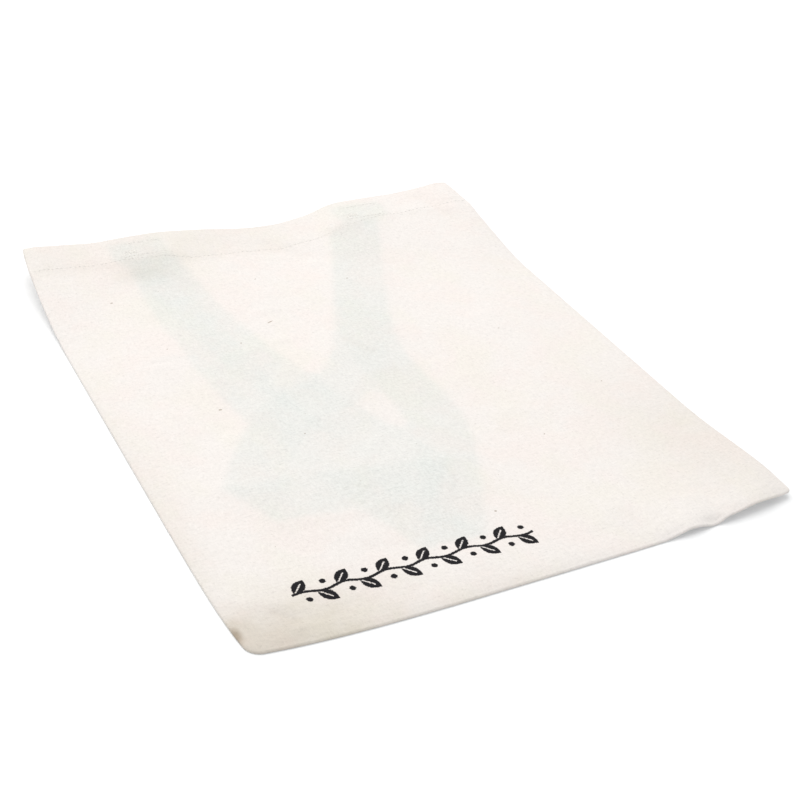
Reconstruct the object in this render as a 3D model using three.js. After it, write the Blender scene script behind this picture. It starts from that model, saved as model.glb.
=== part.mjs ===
// Flat cotton bag lying on its back, with both long handles tucked inside it.
// Millimetres. X runs across the bag, Y from the bottom seam to the mouth, Z up.
import * as THREE from 'three';

// Cut of the bag
const bagWidth = 300;
const bagLength = 375;
const clothThickness = 0.5;
const cornerDrawIn = 4;
const bottomBow = 6;

// Clear space kept between neighbouring layers of cloth
const layerClearance = 0.3;

// Hem turned in along the mouth
const hemDepth = 28;
const hemThickness = 0.8;

// Edges turned in and sewn along the sides and the bottom
const seamAllowance = 8;

// Handles
const strapWidth = 30;
const strapThickness = 1.0;
const strapSpacing = 153;
const strapEndAboveHemEdge = 2;
const strapStandout = 2.5;

// Where the tucked handles lie: distances from the mouth, the bottom or a side
const loopTurnBelowMouth = 154.5;
const frontLegInset = 19.5;
const frontCrossInset = 78.5;
const frontCrossBelowMouth = 174;
const frontBendFromSide = 86;
const frontBendAboveBottom = 161;
const frontRightFoldX = -11;
const frontRightFoldAboveBottom = 83;
const frontLeftFoldFromSide = 41;
const frontLeftFoldAboveBottom = 98.5;
const backLegInset = 3;
const backReturnInset = 61.1;
const backTurnAboveBottom = 127.5;
const backTurnLeftX = -59.5;
const backTurnRightX = 10.6;
const backTipX = -29;
const backTipAboveBottom = 37.5;

// How far the cloth rises off the floor at three corners, and how far along the bag that reaches
const leftMouthLift = 14;
const rightMouthLift = 13;
const mouthLiftReach = 110;
const rightBottomLift = 6;
const bottomLiftReach = 100;
const liftGapToStrap = 3.5;

// Space between the two sides of the bag
const handleSlack = 1.5;
const innerSlack = 0.7;
const puffReach = 22;
const mouthSag = 2;
const mouthSagHalfWidth = 58;
const mouthSagReach = 60;
const hemRampLength = 32;
const levelRampLength = 30;

// Mesh steps
const stepsAcross = 16;
const stepsAlong = 21;
const stepsInHem = 2;
const strapStep = 14;
const foldSteps = 6;

// Derived sizes
const halfWidth = bagWidth / 2;
const halfLength = bagLength / 2;
const hemEdgeY = halfLength - hemDepth;
const bottomY = -halfLength;
const strapX = strapSpacing / 2;
const strapPitch = strapThickness + layerClearance;
const edgeGap = 2 * hemThickness + 3 * layerClearance;
const centreGap = 4 * strapThickness + 5 * layerClearance + innerSlack;
const mouthGap = 2 * hemThickness + 4 * strapThickness + 7 * layerClearance + handleSlack;
const liftFreeHalfWidth = strapX + strapWidth / 2 + liftGapToStrap;

const cottonCloth = { color: 0xf3ebe0, roughness: 0.92, metalness: 0 };
const cottonStrap = { color: 0xeae3d4, roughness: 0.9, metalness: 0 };
const cottonSeam = { color: 0xefe6d8, roughness: 0.94, metalness: 0 };

function smooth(value, start, end) {
  return THREE.MathUtils.smoothstep(value, Math.min(start, end), Math.max(start, end));
}

// Place on the floor of a point of the flat cut; u and v run from -1 to 1
function planPoint(u, v) {
  return new THREE.Vector2(
    u * (halfWidth - cornerDrawIn * Math.abs(v) ** 8),
    v * (halfLength - (v < 0 ? bottomBow * u ** 4 : cornerDrawIn * u ** 8)),
  );
}

// Height of the lower cloth above the floor
function liftAt(x, y) {
  const outward = smooth(Math.abs(x), liftFreeHalfWidth, halfWidth);
  const mouth = smooth(y, halfLength - mouthLiftReach, halfLength);
  const bottom = 1 - smooth(y, bottomY, bottomY + bottomLiftReach);
  if (x < 0) return leftMouthLift * outward * mouth;
  return outward * (rightMouthLift * mouth + rightBottomLift * bottom);
}

// Clear height between the lower and the upper cloth
function gapAt(x, y) {
  const fromSide = smooth(halfWidth - Math.abs(x), 0, puffReach);
  const fromBottom = smooth(y - bottomY, 0, puffReach);
  const towardsMouth = smooth(y, hemEdgeY - hemRampLength, hemEdgeY);
  const inside = THREE.MathUtils.lerp(centreGap, mouthGap, towardsMouth);
  const across = Math.max(0, 1 - (x / mouthSagHalfWidth) ** 2) ** 2;
  const sag = mouthSag * across * smooth(y, halfLength - mouthSagReach, hemEdgeY);
  return edgeGap + (inside - sag - edgeGap) * fromSide * fromBottom;
}

// Closed solid between two grids of points with the same rows and columns
function solidBetween(lower, upper) {
  const rows = lower.length;
  const columns = lower[0].length;
  const positions = [...lower.flat(), ...upper.flat()].flatMap((p) => [p.x, p.y, p.z]);
  const low = (i, j) => i * columns + j;
  const high = (i, j) => rows * columns + low(i, j);
  const index = [];
  const quad = (a, b, c, d) => index.push(a, b, c, a, c, d);
  for (let i = 0; i + 1 < rows; i += 1) {
    for (let j = 0; j + 1 < columns; j += 1) {
      quad(high(i, j), high(i, j + 1), high(i + 1, j + 1), high(i + 1, j));
      index.push(low(i, j), low(i + 1, j + 1), low(i, j + 1));
      index.push(low(i, j), low(i + 1, j), low(i + 1, j + 1));
    }
    quad(low(i, 0), high(i, 0), high(i + 1, 0), low(i + 1, 0));
    quad(low(i + 1, columns - 1), high(i + 1, columns - 1), high(i, columns - 1), low(i, columns - 1));
  }
  for (let j = 0; j + 1 < columns; j += 1) {
    quad(low(0, j + 1), high(0, j + 1), high(0, j), low(0, j));
    quad(low(rows - 1, j), high(rows - 1, j), high(rows - 1, j + 1), low(rows - 1, j + 1));
  }
  const geometry = new THREE.BufferGeometry();
  geometry.setAttribute('position', new THREE.Float32BufferAttribute(positions, 3));
  geometry.setIndex(index);
  geometry.computeVertexNormals();
  return geometry;
}

// A named piece with its own material
function piece(name, geometry, finish) {
  const mesh = new THREE.Mesh(geometry, new THREE.MeshStandardMaterial(finish));
  mesh.name = name;
  return mesh;
}

// Even stations from one end to the other
function stations(start, end, cells) {
  return Array.from({ length: cells + 1 }, (_, i) => start + ((end - start) * i) / cells);
}

// The same rows and columns serve every layer of cloth, so that their facets nest
const seamColumn = 1 - seamAllowance / halfWidth;
const puffColumn = 1 - puffReach / halfWidth;
const columnsAcross = [
  -1, -seamColumn, ...stations(-puffColumn, puffColumn, stepsAcross), seamColumn, 1,
];
const hemRow = hemEdgeY / halfLength;
const seamRow = -1 + seamAllowance / halfLength;
const rowsAlong = [-1, ...stations(seamRow, hemRow, stepsAlong)];
const rowsInHem = stations(hemRow, 1, stepsInHem);
const allRows = [...rowsAlong, ...rowsInHem.slice(1)];

// A layer of cloth over some rows and columns, from one height above the floor to another
function clothLayer(rows, columns, lowerHeight, upperHeight) {
  const grid = (height) => rows.map((v) => columns.map((u) => {
    const { x, y } = planPoint(u, v);
    return new THREE.Vector3(x, y, liftAt(x, y) + height(x, y));
  }));
  return solidBetween(grid(lowerHeight), grid(upperHeight));
}

const lowerClothTop = () => clothThickness;
const upperClothBottom = (x, y) => clothThickness + gapAt(x, y);

function backPanel() {
  return piece('back_panel', clothLayer(allRows, columnsAcross, () => 0, lowerClothTop), cottonCloth);
}

function frontPanel() {
  const top = (x, y) => upperClothBottom(x, y) + clothThickness;
  return piece('front_panel', clothLayer(allRows, columnsAcross, upperClothBottom, top), cottonCloth);
}

function backHem() {
  const bottom = () => clothThickness + layerClearance;
  const top = () => bottom() + hemThickness;
  return piece('back_hem', clothLayer(rowsInHem, columnsAcross, bottom, top), cottonSeam);
}

function frontHem() {
  const top = (x, y) => upperClothBottom(x, y) - layerClearance;
  const bottom = (x, y) => top(x, y) - hemThickness;
  return piece('front_hem', clothLayer(rowsInHem, columnsAcross, bottom, top), cottonSeam);
}

// The turned-in edges fill the space left between the two sides of the bag at its edge
const seamBottom = () => clothThickness + layerClearance;
const seamTop = () => clothThickness + edgeGap - layerClearance;

function sideSeam(name, side) {
  const columns = side < 0 ? [-1, -seamColumn] : [seamColumn, 1];
  const lastRow = (hemEdgeY - layerClearance) / halfLength;
  const rows = [...rowsAlong.slice(0, -1), lastRow];
  return piece(name, clothLayer(rows, columns, seamBottom, seamTop), cottonSeam);
}

function bottomSeam() {
  const endColumn = seamColumn - layerClearance / halfWidth;
  const columns = [-endColumn, ...columnsAcross.slice(2, -2), endColumn];
  return piece('bottom_seam', clothLayer([-1, seamRow], columns, seamBottom, seamTop), cottonSeam);
}

// Heights of a strap's middle: layer 0 lies on the lower cloth, in the bag and in the hem
function insideLayer(layer) {
  return clothThickness + layerClearance + strapThickness / 2 + layer * strapPitch;
}

function hemLayer(layer) {
  const slack = layer > 1 ? handleSlack : 0;
  return insideLayer(layer) + layerClearance + hemThickness + slack;
}

// A strap's height where it rises from its layer in the bag to its layer in the hem
function risingToHem(inside, hem) {
  const rise = (y) => smooth(y, hemEdgeY - hemRampLength, hemEdgeY);
  return (p) => THREE.MathUtils.lerp(inside(p), hemLayer(hem), rise(p.y));
}

// One cross-section of a strap: its middle, half its width and the way its upper face looks
function section(middle, height, half, normal) {
  return { middle: new THREE.Vector3(middle.x, middle.y, height), half, normal };
}

function leftOf(direction) {
  return new THREE.Vector2(-direction.y, direction.x);
}

// Half of the slanted line on which a strap folds over, from its direction before and after
function foldHalf(before, after, side) {
  const line = before.clone().add(after).normalize();
  const across = line.dot(leftOf(before));
  return line.multiplyScalar((side * strapWidth) / 2 / across);
}

// The sections round one fold, from the layer below to the layer above or the reverse
function foldSections(corner, before, half, fromHeight, toHeight, face) {
  const outward = leftOf(half).normalize();
  if (outward.dot(before) < 0) outward.negate();
  const rise = (toHeight - fromHeight) / 2;
  const sections = [];
  for (let i = 1; i < foldSteps; i += 1) {
    const angle = (Math.PI * i) / foldSteps;
    const reach = Math.abs(rise) * Math.sin(angle);
    const middle = corner.clone().addScaledVector(outward, reach);
    const turn = -Math.sign(rise) * Math.sin(angle);
    const normal = new THREE.Vector3(outward.x * turn, outward.y * turn, Math.cos(angle));
    const height = fromHeight + rise * (1 - Math.cos(angle));
    sections.push(section(middle, height, half, normal.multiplyScalar(face)));
  }
  return sections;
}

// A flat strap along runs of points; between runs it folds over flat on a slanted line
function foldedStrap(name, runs) {
  const curves = runs.map((run) => new THREE.SplineCurve(run.points));
  const sections = [];
  let side = 1;
  let face = 1;
  let startHalf = null;
  curves.forEach((curve, k) => {
    const { height } = runs[k];
    const length = curve.getLength();
    const first = curve.getTangentAt(0);
    const last = curve.getTangentAt(1);
    if (!startHalf) startHalf = leftOf(first).multiplyScalar((side * strapWidth) / 2);
    const next = curves[k + 1];
    const endHalf = next
      ? foldHalf(last, next.getTangentAt(0), side)
      : leftOf(last).multiplyScalar((side * strapWidth) / 2);
    const normal = new THREE.Vector3(0, 0, face);
    const start = curve.getPointAt(0);
    const end = curve.getPointAt(1);
    sections.push(section(start, height(start), startHalf, normal));
    const from = Math.abs(startHalf.dot(first)) + strapThickness;
    const to = length - Math.abs(endHalf.dot(last)) - strapThickness;
    const steps = Math.max(1, Math.round((to - from) / strapStep));
    if (to > from) {
      for (const distance of stations(from, to, steps)) {
        const middle = curve.getPointAt(distance / length);
        const half = leftOf(curve.getTangentAt(distance / length)).multiplyScalar((side * strapWidth) / 2);
        sections.push(section(middle, height(middle), half, normal));
      }
    }
    sections.push(section(end, height(end), endHalf, normal));
    if (next) {
      const following = runs[k + 1].height(end);
      sections.push(...foldSections(end, last, endHalf, height(end), following, face));
      side = -side;
      face = -face;
      startHalf = endHalf;
    }
  });
  const rows = (sideways) => sections.map(({ middle, half, normal }) => [-1, 1].map((edge) => middle.clone()
    .add(new THREE.Vector3(half.x * edge, half.y * edge, 0))
    .addScaledVector(normal, (sideways * strapThickness) / 2)));
  return piece(name, solidBetween(rows(1), rows(-1)), cottonStrap);
}

const at = (x, y) => new THREE.Vector2(x, y);
const strapEndY = hemEdgeY + strapEndAboveHemEdge;
const strapFoldY = halfLength + strapStandout;

function sewnEnd(x, hem, outwards) {
  const ends = [at(x, strapEndY), at(x, (strapEndY + strapFoldY) / 2), at(x, strapFoldY)];
  return { points: outwards ? ends : ends.reverse(), height: () => hemLayer(hem) };
}

// The front handle crosses itself: down the left, across to the left side, up to the right
function frontHandle() {
  const rightFold = at(frontRightFoldX, bottomY + frontRightFoldAboveBottom);
  const leftFold = at(-halfWidth + frontLeftFoldFromSide, bottomY + frontLeftFoldAboveBottom);
  const climbEnd = rightFold.y + strapWidth / 2 + levelRampLength / 3;
  const climb = (p) => smooth(p.y, climbEnd, climbEnd + levelRampLength);
  const downHeight = (p) => THREE.MathUtils.lerp(insideLayer(2), insideLayer(1), climb(p));
  return foldedStrap('front_handle', [
    sewnEnd(-strapX, 3, true),
    {
      points: [
        at(-strapX, strapFoldY),
        at(-strapX + frontLegInset, halfLength - loopTurnBelowMouth),
        rightFold,
      ],
      height: risingToHem(downHeight, 2),
    },
    { points: [rightFold, leftFold], height: () => insideLayer(3) },
    {
      points: [
        leftFold,
        at(-halfWidth + frontBendFromSide, bottomY + frontBendAboveBottom),
        at(strapX - frontCrossInset, halfLength - frontCrossBelowMouth),
        at(strapX, strapFoldY),
      ],
      height: risingToHem(() => insideLayer(2), 2),
    },
    sewnEnd(strapX, 3, false),
  ]);
}

// The back handle lies under it in one long loop that folds over near the bottom of the bag
function backHandle() {
  const tip = at(backTipX, bottomY + backTipAboveBottom);
  const apart = tip.y + strapWidth * 1.6;
  const returning = (p) => THREE.MathUtils.lerp(
    insideLayer(1),
    insideLayer(0),
    smooth(p.y, apart, apart + levelRampLength),
  );
  return foldedStrap('back_handle', [
    sewnEnd(-strapX, 0, true),
    {
      points: [
        at(-strapX, strapFoldY),
        at(-strapX + backLegInset, halfLength - loopTurnBelowMouth),
        at(backTurnLeftX, bottomY + backTurnAboveBottom),
        tip,
      ],
      height: risingToHem(() => insideLayer(0), 1),
    },
    {
      points: [
        tip,
        at(backTurnRightX, bottomY + backTurnAboveBottom),
        at(strapX - backReturnInset, halfLength - loopTurnBelowMouth),
        at(strapX, strapFoldY),
      ],
      height: risingToHem(returning, 1),
    },
    sewnEnd(strapX, 0, false),
  ]);
}

// The bag stands on its back; the origin is the middle of its box, on the floor
const bag = new THREE.Group();
bag.add(
  backPanel(),
  backHem(),
  sideSeam('left_side_seam', -1),
  sideSeam('right_side_seam', 1),
  bottomSeam(),
  backHandle(),
  frontPanel(),
  frontHem(),
  frontHandle(),
);
const extent = new THREE.Box3().setFromObject(bag, true);
const boxCentre = extent.getCenter(new THREE.Vector3());
bag.position.set(-boxCentre.x, -boxCentre.y, 0);
bag.updateMatrixWorld(true);

export default bag;
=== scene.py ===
import math

import bmesh
import bpy
import numpy as np
from mathutils import Matrix, Vector


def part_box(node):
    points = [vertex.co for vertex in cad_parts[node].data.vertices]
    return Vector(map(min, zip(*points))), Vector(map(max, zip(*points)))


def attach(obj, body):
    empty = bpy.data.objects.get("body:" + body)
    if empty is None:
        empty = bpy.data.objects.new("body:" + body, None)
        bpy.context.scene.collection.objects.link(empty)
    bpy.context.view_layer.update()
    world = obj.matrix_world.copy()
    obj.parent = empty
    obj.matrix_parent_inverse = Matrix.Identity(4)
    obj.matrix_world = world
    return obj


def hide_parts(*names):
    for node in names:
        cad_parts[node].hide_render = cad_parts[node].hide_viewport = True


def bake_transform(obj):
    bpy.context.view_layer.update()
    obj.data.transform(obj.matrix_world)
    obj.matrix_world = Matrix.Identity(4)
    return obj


# Looks of a flat cotton bag that lies on its back with both handles tucked inside.
# Sizes are millimetres unless a name ends in METRES; X runs across, Y to the mouth, Z up.
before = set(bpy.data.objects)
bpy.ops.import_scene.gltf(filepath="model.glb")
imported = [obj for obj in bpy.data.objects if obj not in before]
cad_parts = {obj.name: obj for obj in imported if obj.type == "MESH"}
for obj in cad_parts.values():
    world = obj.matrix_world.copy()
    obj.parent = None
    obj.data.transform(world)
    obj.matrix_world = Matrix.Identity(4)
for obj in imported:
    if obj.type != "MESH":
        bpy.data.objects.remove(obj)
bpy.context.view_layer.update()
MM = 0.001

# The cut, with its outline read from the frame
panel_low, panel_high = (np.array(corner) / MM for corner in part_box("back_panel"))
HALF_WIDTH = panel_high[0]
MOUTH_Y = panel_high[1]
BOTTOM_Y = panel_low[1]
MIDDLE_Y = (MOUTH_Y + BOTTOM_Y) / 2
HALF_LENGTH = (MOUTH_Y - BOTTOM_Y) / 2

# How far the corners are drawn in, and how far the bottom edge bows out between them
CORNER_DRAW_IN = 4
RIGHT_CORNER_DRAW_IN = -1.5
BOTTOM_BOW = 6
LEFT_CORNER_RADIUS = 7
RIGHT_CORNER_RADIUS = 3.5

# Cloth and hem
CLOTH = 0.45
HEM_DEPTH = 28
HEM_EDGE_Y = MOUTH_Y - HEM_DEPTH
HEM_STITCHES_Y = HEM_EDGE_Y + 1.5
FOLD_RADIUS = 0.5
HEM_SIDE_GAP = 0.5
HEM_FOLD_ROWS = 9
HEM_BAND_ROWS = 20
# Pitch of the grid that every cloth is made on
GRID_STEP = 1.5

# Edges that turn in round the seam line
EDGE_RADIUS = 1.0
EDGE_TURN = math.radians(115)
EDGE_END_HEIGHT = 0.33
EDGE_ROWS = 9
EDGE_ARC = EDGE_RADIUS * EDGE_TURN
EDGE_START = EDGE_RADIUS + CLOTH / 2
INNER_HALF_WIDTH = HALF_WIDTH - EDGE_START
FLAT_HALF_WIDTH = INNER_HALF_WIDTH + EDGE_ARC
FLAT_BOTTOM = BOTTOM_Y + EDGE_START - EDGE_ARC

# The back's edges: how far inside the front's, how much they curl up, and the gap under the cloth
BACK_EDGE_INSET = 0.6
BACK_EDGE_CURL = 0.32
UNDER_BACK = 0.11
BACK_INSET_LENGTH = 100

# Seam edges between the cloths: where they start and end inside the rolled edge, gaps at their ends
SEAM_START = 2.4
SEAM_END = 9
SEAM_END_GAP = 11
SEAM_HEM_GAP = 0.6
SEAM_THICKNESS = 0.8
OVER_BACK = 0.08
SEAM_COLUMNS = 8
SIDE_SEAM_ROWS = 220
BOTTOM_SEAM_ROWS = 190

# Handles, routed as in the frame, with their layers pressed closer together
STRAP_WIDTH = 30
STRAP_THICKNESS = 0.9
STRAP_X = 76.5
STRAP_END_Y = HEM_EDGE_Y + 2
LEFT_STRAP_FOLD_Y = MOUTH_Y + 0.9
RIGHT_STRAP_FOLD_Y = MOUTH_Y - 1.4
LAYER_CLEARANCE = 0.06
HEM_CLEARANCE = 0.3
HANDLE_SLACK = 3.1
FRAME_CLOTH = 0.5
FRAME_HEM = 0.8
HEM_RAMP = 32
LEVEL_RAMP = 30
# Sections of a strap: their pitch, steps round a fold, and how far before one the strap begins to follow it
SECTION_STEP = 2.0
FOLD_STEPS = 10
FOLD_BLEND = 4
# A strap's faces are a little narrower than its edges, and thinner towards them
STRAP_FACE_WIDTH = 0.98
STRAP_FACE_SINK = 0.02
STRAP_EDGE_THINNING = 0.25

# Lift of the corners off the floor, as in the frame
LEFT_MOUTH_LIFT = 14
RIGHT_MOUTH_LIFT = 13
MOUTH_LIFT_REACH = 110
LIFT_FREE_HALF_WIDTH = STRAP_X + STRAP_WIDTH / 2 + 3.5

# Lift of the right edge near the bottom: distance from the bottom, height
RIGHT_EDGE_LIFT = [
    (0, 3.0), (12, 3.8), (25, 4.4), (38, 3.9), (50, 3.0), (65, 1.7), (80, 0.6), (100, 0), (110, 0), (400, 0),
]
# The bottom edge's own waves near the right corner: place across, height
BOTTOM_WAVES = [
    (-160, 0), (50, 0), (60, 0), (70, 0.2), (78, 1.7), (84, 2.9), (91, 2.3), (99, 0.2), (102, 0.2),
    (108, 2.5), (114, 2.7), (121, 3.1), (128, 2.9), (134, 1.9), (141, 0.5), (148, -0.4), (160, -0.4),
]
BOTTOM_WAVE_REACH = 34

# The front's height at its rolled edge and well inside it, and the least that it keeps over what lies below
EDGE_HEIGHT = 1.45
PUFF_HEIGHT = 2.9
PUFF_REACH = 6
LEAST_OVER_SEAMS = 1.80
LEAST_INSIDE = 1.05
OVER_STRAPS = 0.12
OVER_HEM = 0.15
# Distances from the roll between which that least height rises over the seam edges and falls past them
SEAMS_FROM_ROLL = (0.3, 2.4)
PAST_SEAMS_FROM_ROLL = (10, 17)
# How far the cloth may press into that height, and over which distance it becomes the rolled edge
LET_IN = 0.04
EDGE_BLEND = 3.5
# A sunken place is raised in rounds, each wider than the place itself and softened
RAISE_ROUNDS = 5
RAISE_CELLS = 3
RAISE_SOFTENING = 18
# How the front is draped: its sag in each pass, passes on each grid, the hem's pull to its measured line,
# how often the forms below and the cloth itself are softened
CLOTH_WEIGHT = 0.0014
DRAPE_PASSES = 420
HEM_PULL = 0.5
FLOOR_SOFTENING = 30
CLOTH_SOFTENING = 36

# Height of the front's top along the mouth edge and along the hem's lower edge: place across, height
MOUTH_LINE = [
    (-150, 17.6), (-137, 15.1), (-117, 12.2), (-100, 10.2), (-90, 10.3), (-76, 10.5), (-60, 10.3),
    (-48, 9.2), (-35, 7.6), (-23, 6.2), (-8, 4.6), (8, 3.7), (22, 3.8), (35, 4.8), (48, 6.2),
    (60, 9.9), (76, 10.5), (92, 10.5), (105, 10.4), (117, 11.0), (130, 12.6), (141, 14.4), (150, 15.6),
]
HEM_LINE = [
    (-150, 14.2), (-138, 13.2), (-121, 11.0), (-104, 9.4), (-92, 10.1), (-76, 10.3), (-61, 9.6),
    (-46, 6.7), (-30, 4.6), (-15, 3.9), (0, 3.7), (15, 3.5), (30, 3.6), (45, 5.2), (60, 9.2),
    (76, 10.3), (92, 10.1), (105, 9.6), (120, 10.6), (135, 11.9), (150, 13.2),
]
# Between the handles the hem is deeper: by how much, and between which places it grows and fades
HEM_SAG = 5.0
HEM_SAG_LEFT = (-95, -45)
HEM_SAG_RIGHT = (48, 88)
# There the mouth edge is pulled in: by how much, where, and how far down the cloth follows
MOUTH_DIP = 3.4
MOUTH_DIP_X = 14
MOUTH_DIP_HALF_WIDTH = 46
MOUTH_DIP_LENGTH = 90

# The hem's stitch line: its groove, the puckers across it, and the step up onto the doubled cloth
GROOVE_DEPTH = 0.30
GROOVE_HALF_WIDTH = 2.0
PUCKER_HEIGHT = 0.085
PUCKER_LENGTHS = (5.5, 8.0, 13.0, 21.0)
PUCKER_REACH = 5.0
HEM_STEP = 0.55
HEM_STEP_LENGTH = 5.0

# The seam edges lift the front and the seam draws it down: height, distance from the roll, half width
SEAM_RISE = (0.22, 1.4, 1.1)
SEAM_DIP = (0.20, 4.0, 1.3)
# The cloth sinks past the seam edges: by how much, and the distances over which this starts and ends
SINK_PAST_SEAM = 0.18
SINK_STARTS = (8.0, 11.5)
SINK_ENDS = (14, 30)

# Slow waves of the front: longest, shortest, height, number; together about as high as the height given
SLOW_WAVES = ((150, 70, 0.34, 10), (60, 28, 0.13, 16), (24, 12, 0.035, 22))
WAVES_TOGETHER = 1.4
# Creases of the front: start, end, half width, height
CREASES = [
    ((-127, -166), (-119.5, -175), 2.3, -0.95),
    ((-134, -156), (-114, -167), 4.5, 0.8),
    ((-131, -183), (-120, -179), 2.6, 0.8),
    ((-120, -179), (-104, -181.5), 2.6, 0.55),
    ((1, 34), (10, 14), 3.0, -0.75),
    ((-8, 26), (5, 2), 4.5, 0.5),
    ((14, -8), (26, -70), 5, -0.4),
    ((-142, -30), (-141, -120), 3.5, -0.35),
    ((5, 160), (20, 136), 6, -1.0),
    ((28, 158), (46, 128), 7, 0.5),
    ((122, 172), (131, 139), 5, -0.8),
    ((108, 158), (137, 150), 4.5, 0.7),
    ((57, -190), (60, -170), 7, -0.8),
    ((92, -190), (98, -172), 7, 0.7),
    ((-50, 150), (-32, 132), 8, -0.6),
    ((-92, -114), (-40, -118), 3.2, 0.35),
    ((-68, -142), (-50, -148), 4, -0.4),
]
# Small creases: number, usual height, half lengths, half widths, bend, and where two thirds of them lie
SMALL_CREASES = 150
SMALL_CREASE_HEIGHT = 0.27
SMALL_CREASE_LENGTHS = (4, 13)
SMALL_CREASE_WIDTHS = (2.4, 4.2)
SMALL_CREASE_BEND = 0.02
CREASED_ACROSS = (-105, 60)
CREASED_ALONG = (-140, 150)
# Waves and creases are full this far inside the rolled edge, where creases keep a share of their height,
# and both waves and small creases lose a share in the hem
WAVES_FULL_AT = 22
CREASES_AT_EDGE = 0.35
CALM_IN_HEM = 0.7

# How strongly a strap shows through the cloth as painted shade: one layer, each further one, in the hem, its
# sewn end
SHOWN_ONCE = 0.60
SHOWN_FURTHER = 0.22
SHOWN_IN_HEM = 0.12
SHOWN_SEWN_END = 0.62
# The sewn ends show a little to one side, wider than the strap, up to this far below the mouth
SEWN_END_SHIFT = 2
SEWN_END_MARGIN = 2.5
SEWN_END_TOP_GAP = 7
# The upper right leg lies a little away from the cloth, so its painted shade is fainter: place, reach across
# and along, share that is lost
FAINTER = (55, 92, 32, 36, 0.36)

# Cloth painted darker: the near corner in painted shade, browner there with some soil; the edges beside it,
# the hem, and patches of their own
SHADED_CORNER = 1.1
SHADED_CORNER_REACH = 48
SHADED_CORNER_STRETCH = (0.62, 1.35)
# Edges, painted shade where the cloth rolls down away from the light: share, reach from the edge, and the
# places between which it fades along the edge
SHADED_BOTTOM = (0.42, 10, -60, 70)
SHADED_LEFT = (0.32, 7, -120, 120)
# The hem, painted shade that fades out towards the right: share, and the places between which it fades
SHADED_HEM = 0.20
SHADED_HEM_FADE = (-40, 90)
# Patches painted darker, the first as shade below the left handle's sewn end, the second just darker: place,
# reach across and along, share
DARKER_PATCHES = ((-83, 143, 19, 9, 0.42), (138, -130, 36, 62, 0.34))
# Painted shade in the sharper crease valleys
CREASE_SHADE_SHARE = 0.42
# The seam's end at the near corner, a small dark brown place: place, reach across and along, share
SEAM_END_Y = -171
SEAM_END_REACH = (2.6, 7)
SEAM_END_DARKNESS = 0.8

# Rows of stitches: distance from the cloth's face, the side edges and the middle, and between their points
STITCH_OUT = 0.06
TACK_OUT = 0.12
BACK_STITCH_OUT = -0.08
STITCH_SIDE_GAP = 3
STITCH_MIDDLE_GAP = 0.8
STITCH_ROW_STEP = 1.4
# Box stitching of a handle's end, and a zigzag bar near one corner of it
BOX_HALF_WIDTH = 13
BOX_LOW_Y = HEM_EDGE_Y + 3.5
BOX_HIGH_Y = MOUTH_Y - 9
TACK_START = -12
TACK_Y = HEM_EDGE_Y + 8
TACK_STEP = 0.85
TACK_REACH = 1.9
# Sizes of plain stitches and of a bar's, in metres, and a thread's height as a share of its width
PLAIN_STITCHES = {"Pitch": 0.0028, "Stitch Length": 0.0021, "Thread Width": 0.00042, "Hole Width": 0.0004}
TACK_STITCHES = {"Pitch": 0.0008, "Stitch Length": 0.0012, "Thread Width": 0.0006, "Hole Width": 0.00025}
UNEVENNESS = 0.10
THREAD_FLATNESS = 0.8

# Colours
CREAM = (0.923, 0.877, 0.842)
PINK_CREAM = (0.932, 0.860, 0.820)
GREEN_CREAM = (0.914, 0.872, 0.808)
# Painted shade of the straps below the cloth
STRAP_SHADE = (0.886, 0.945, 0.948)
# Painted shade, with some soil, of the darker places
SHADE_AND_SOIL = (0.795, 0.770, 0.710)
# Darker brown where the darkening is deepest, at the seam's end
SEAM_END_BROWN = (0.60, 0.545, 0.475)
STRAP_CREAM = (0.86, 0.825, 0.75)
SEAM_CREAM = (0.90, 0.86, 0.80)
THREAD_CREAM = (0.95, 0.93, 0.90)
THREAD_SHADE = (0.86, 0.83, 0.78)
# Painted shade inside the needle holes
HOLE_BROWN = (0.30, 0.26, 0.22)
HUSK = (0.32, 0.25, 0.17)
INK = (0.006, 0.005, 0.007)
# How much of a colour a place can take
PINK_SHARE = 0.8
GREEN_SHARE = 0.7
HUSK_SHARE = 0.8
LARGE_HUSK_SHARE = 0.62

# The weave's tones: light and dark threads, pits, and how much both stand out, also over a strap
GRAIN = 0.085
PIT_DEPTH = 0.08
GRAIN_CONTRAST = 0.9
STRAP_CONTRAST = 0.55
# The weave and the cockles under it, as bumps, and the threads' waver
WEAVE_DEPTH_METRES = 0.00012
COCKLE_DEPTH_METRES = 0.0009
THREAD_DEPTH_METRES = 0.00004
WAVER_METRES = 0.0006
THREADS_PER_METRE = 2100.0

# Larger bits in the cloth: place, length, width, turn in degrees
LARGE_FLECKS = [
    (-31, 68, 4.6, 1.1, 24), (-111, 118, 1.9, 1.0, 8), (-91, -7, 2.0, 1.2, 0), (2, -140, 1.5, 1.3, 0),
    (-56, 51, 1.1, 0.9, 30), (-59, -46, 1.1, 0.8, 10), (33, 98, 1.3, 0.9, 50), (92, 12, 1.2, 0.8, 0),
    (-20, 118, 1.4, 0.7, 15), (-97, 60, 1.2, 0.7, 40), (60, -92, 1.3, 0.8, 70), (118, -60, 1.1, 0.8, 20),
]

# Block print: a running stem with a leaf and a berry in each pitch
PRINT_LEFT = -116
PRINT_RIGHT = 11
PRINT_MIDDLE_Y = -160.5
PRINT_LEAVES = 12
LEAF_HALF_LENGTH = 5.6
LEAF_HALF_WIDTH = 3.2
LEAF_MIDDLE = (-0.1, 4.6)
LEAF_TURN = math.radians(48)
VEIN_HALF_WIDTH = 0.3
VEIN_END = 2.4
BERRY_MIDDLE = (1.2, -4.7)
BERRY_RADIUS = 1.6
STEM_HALF_WIDTH = 0.85
STEM_WAVE = 1.0

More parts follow.
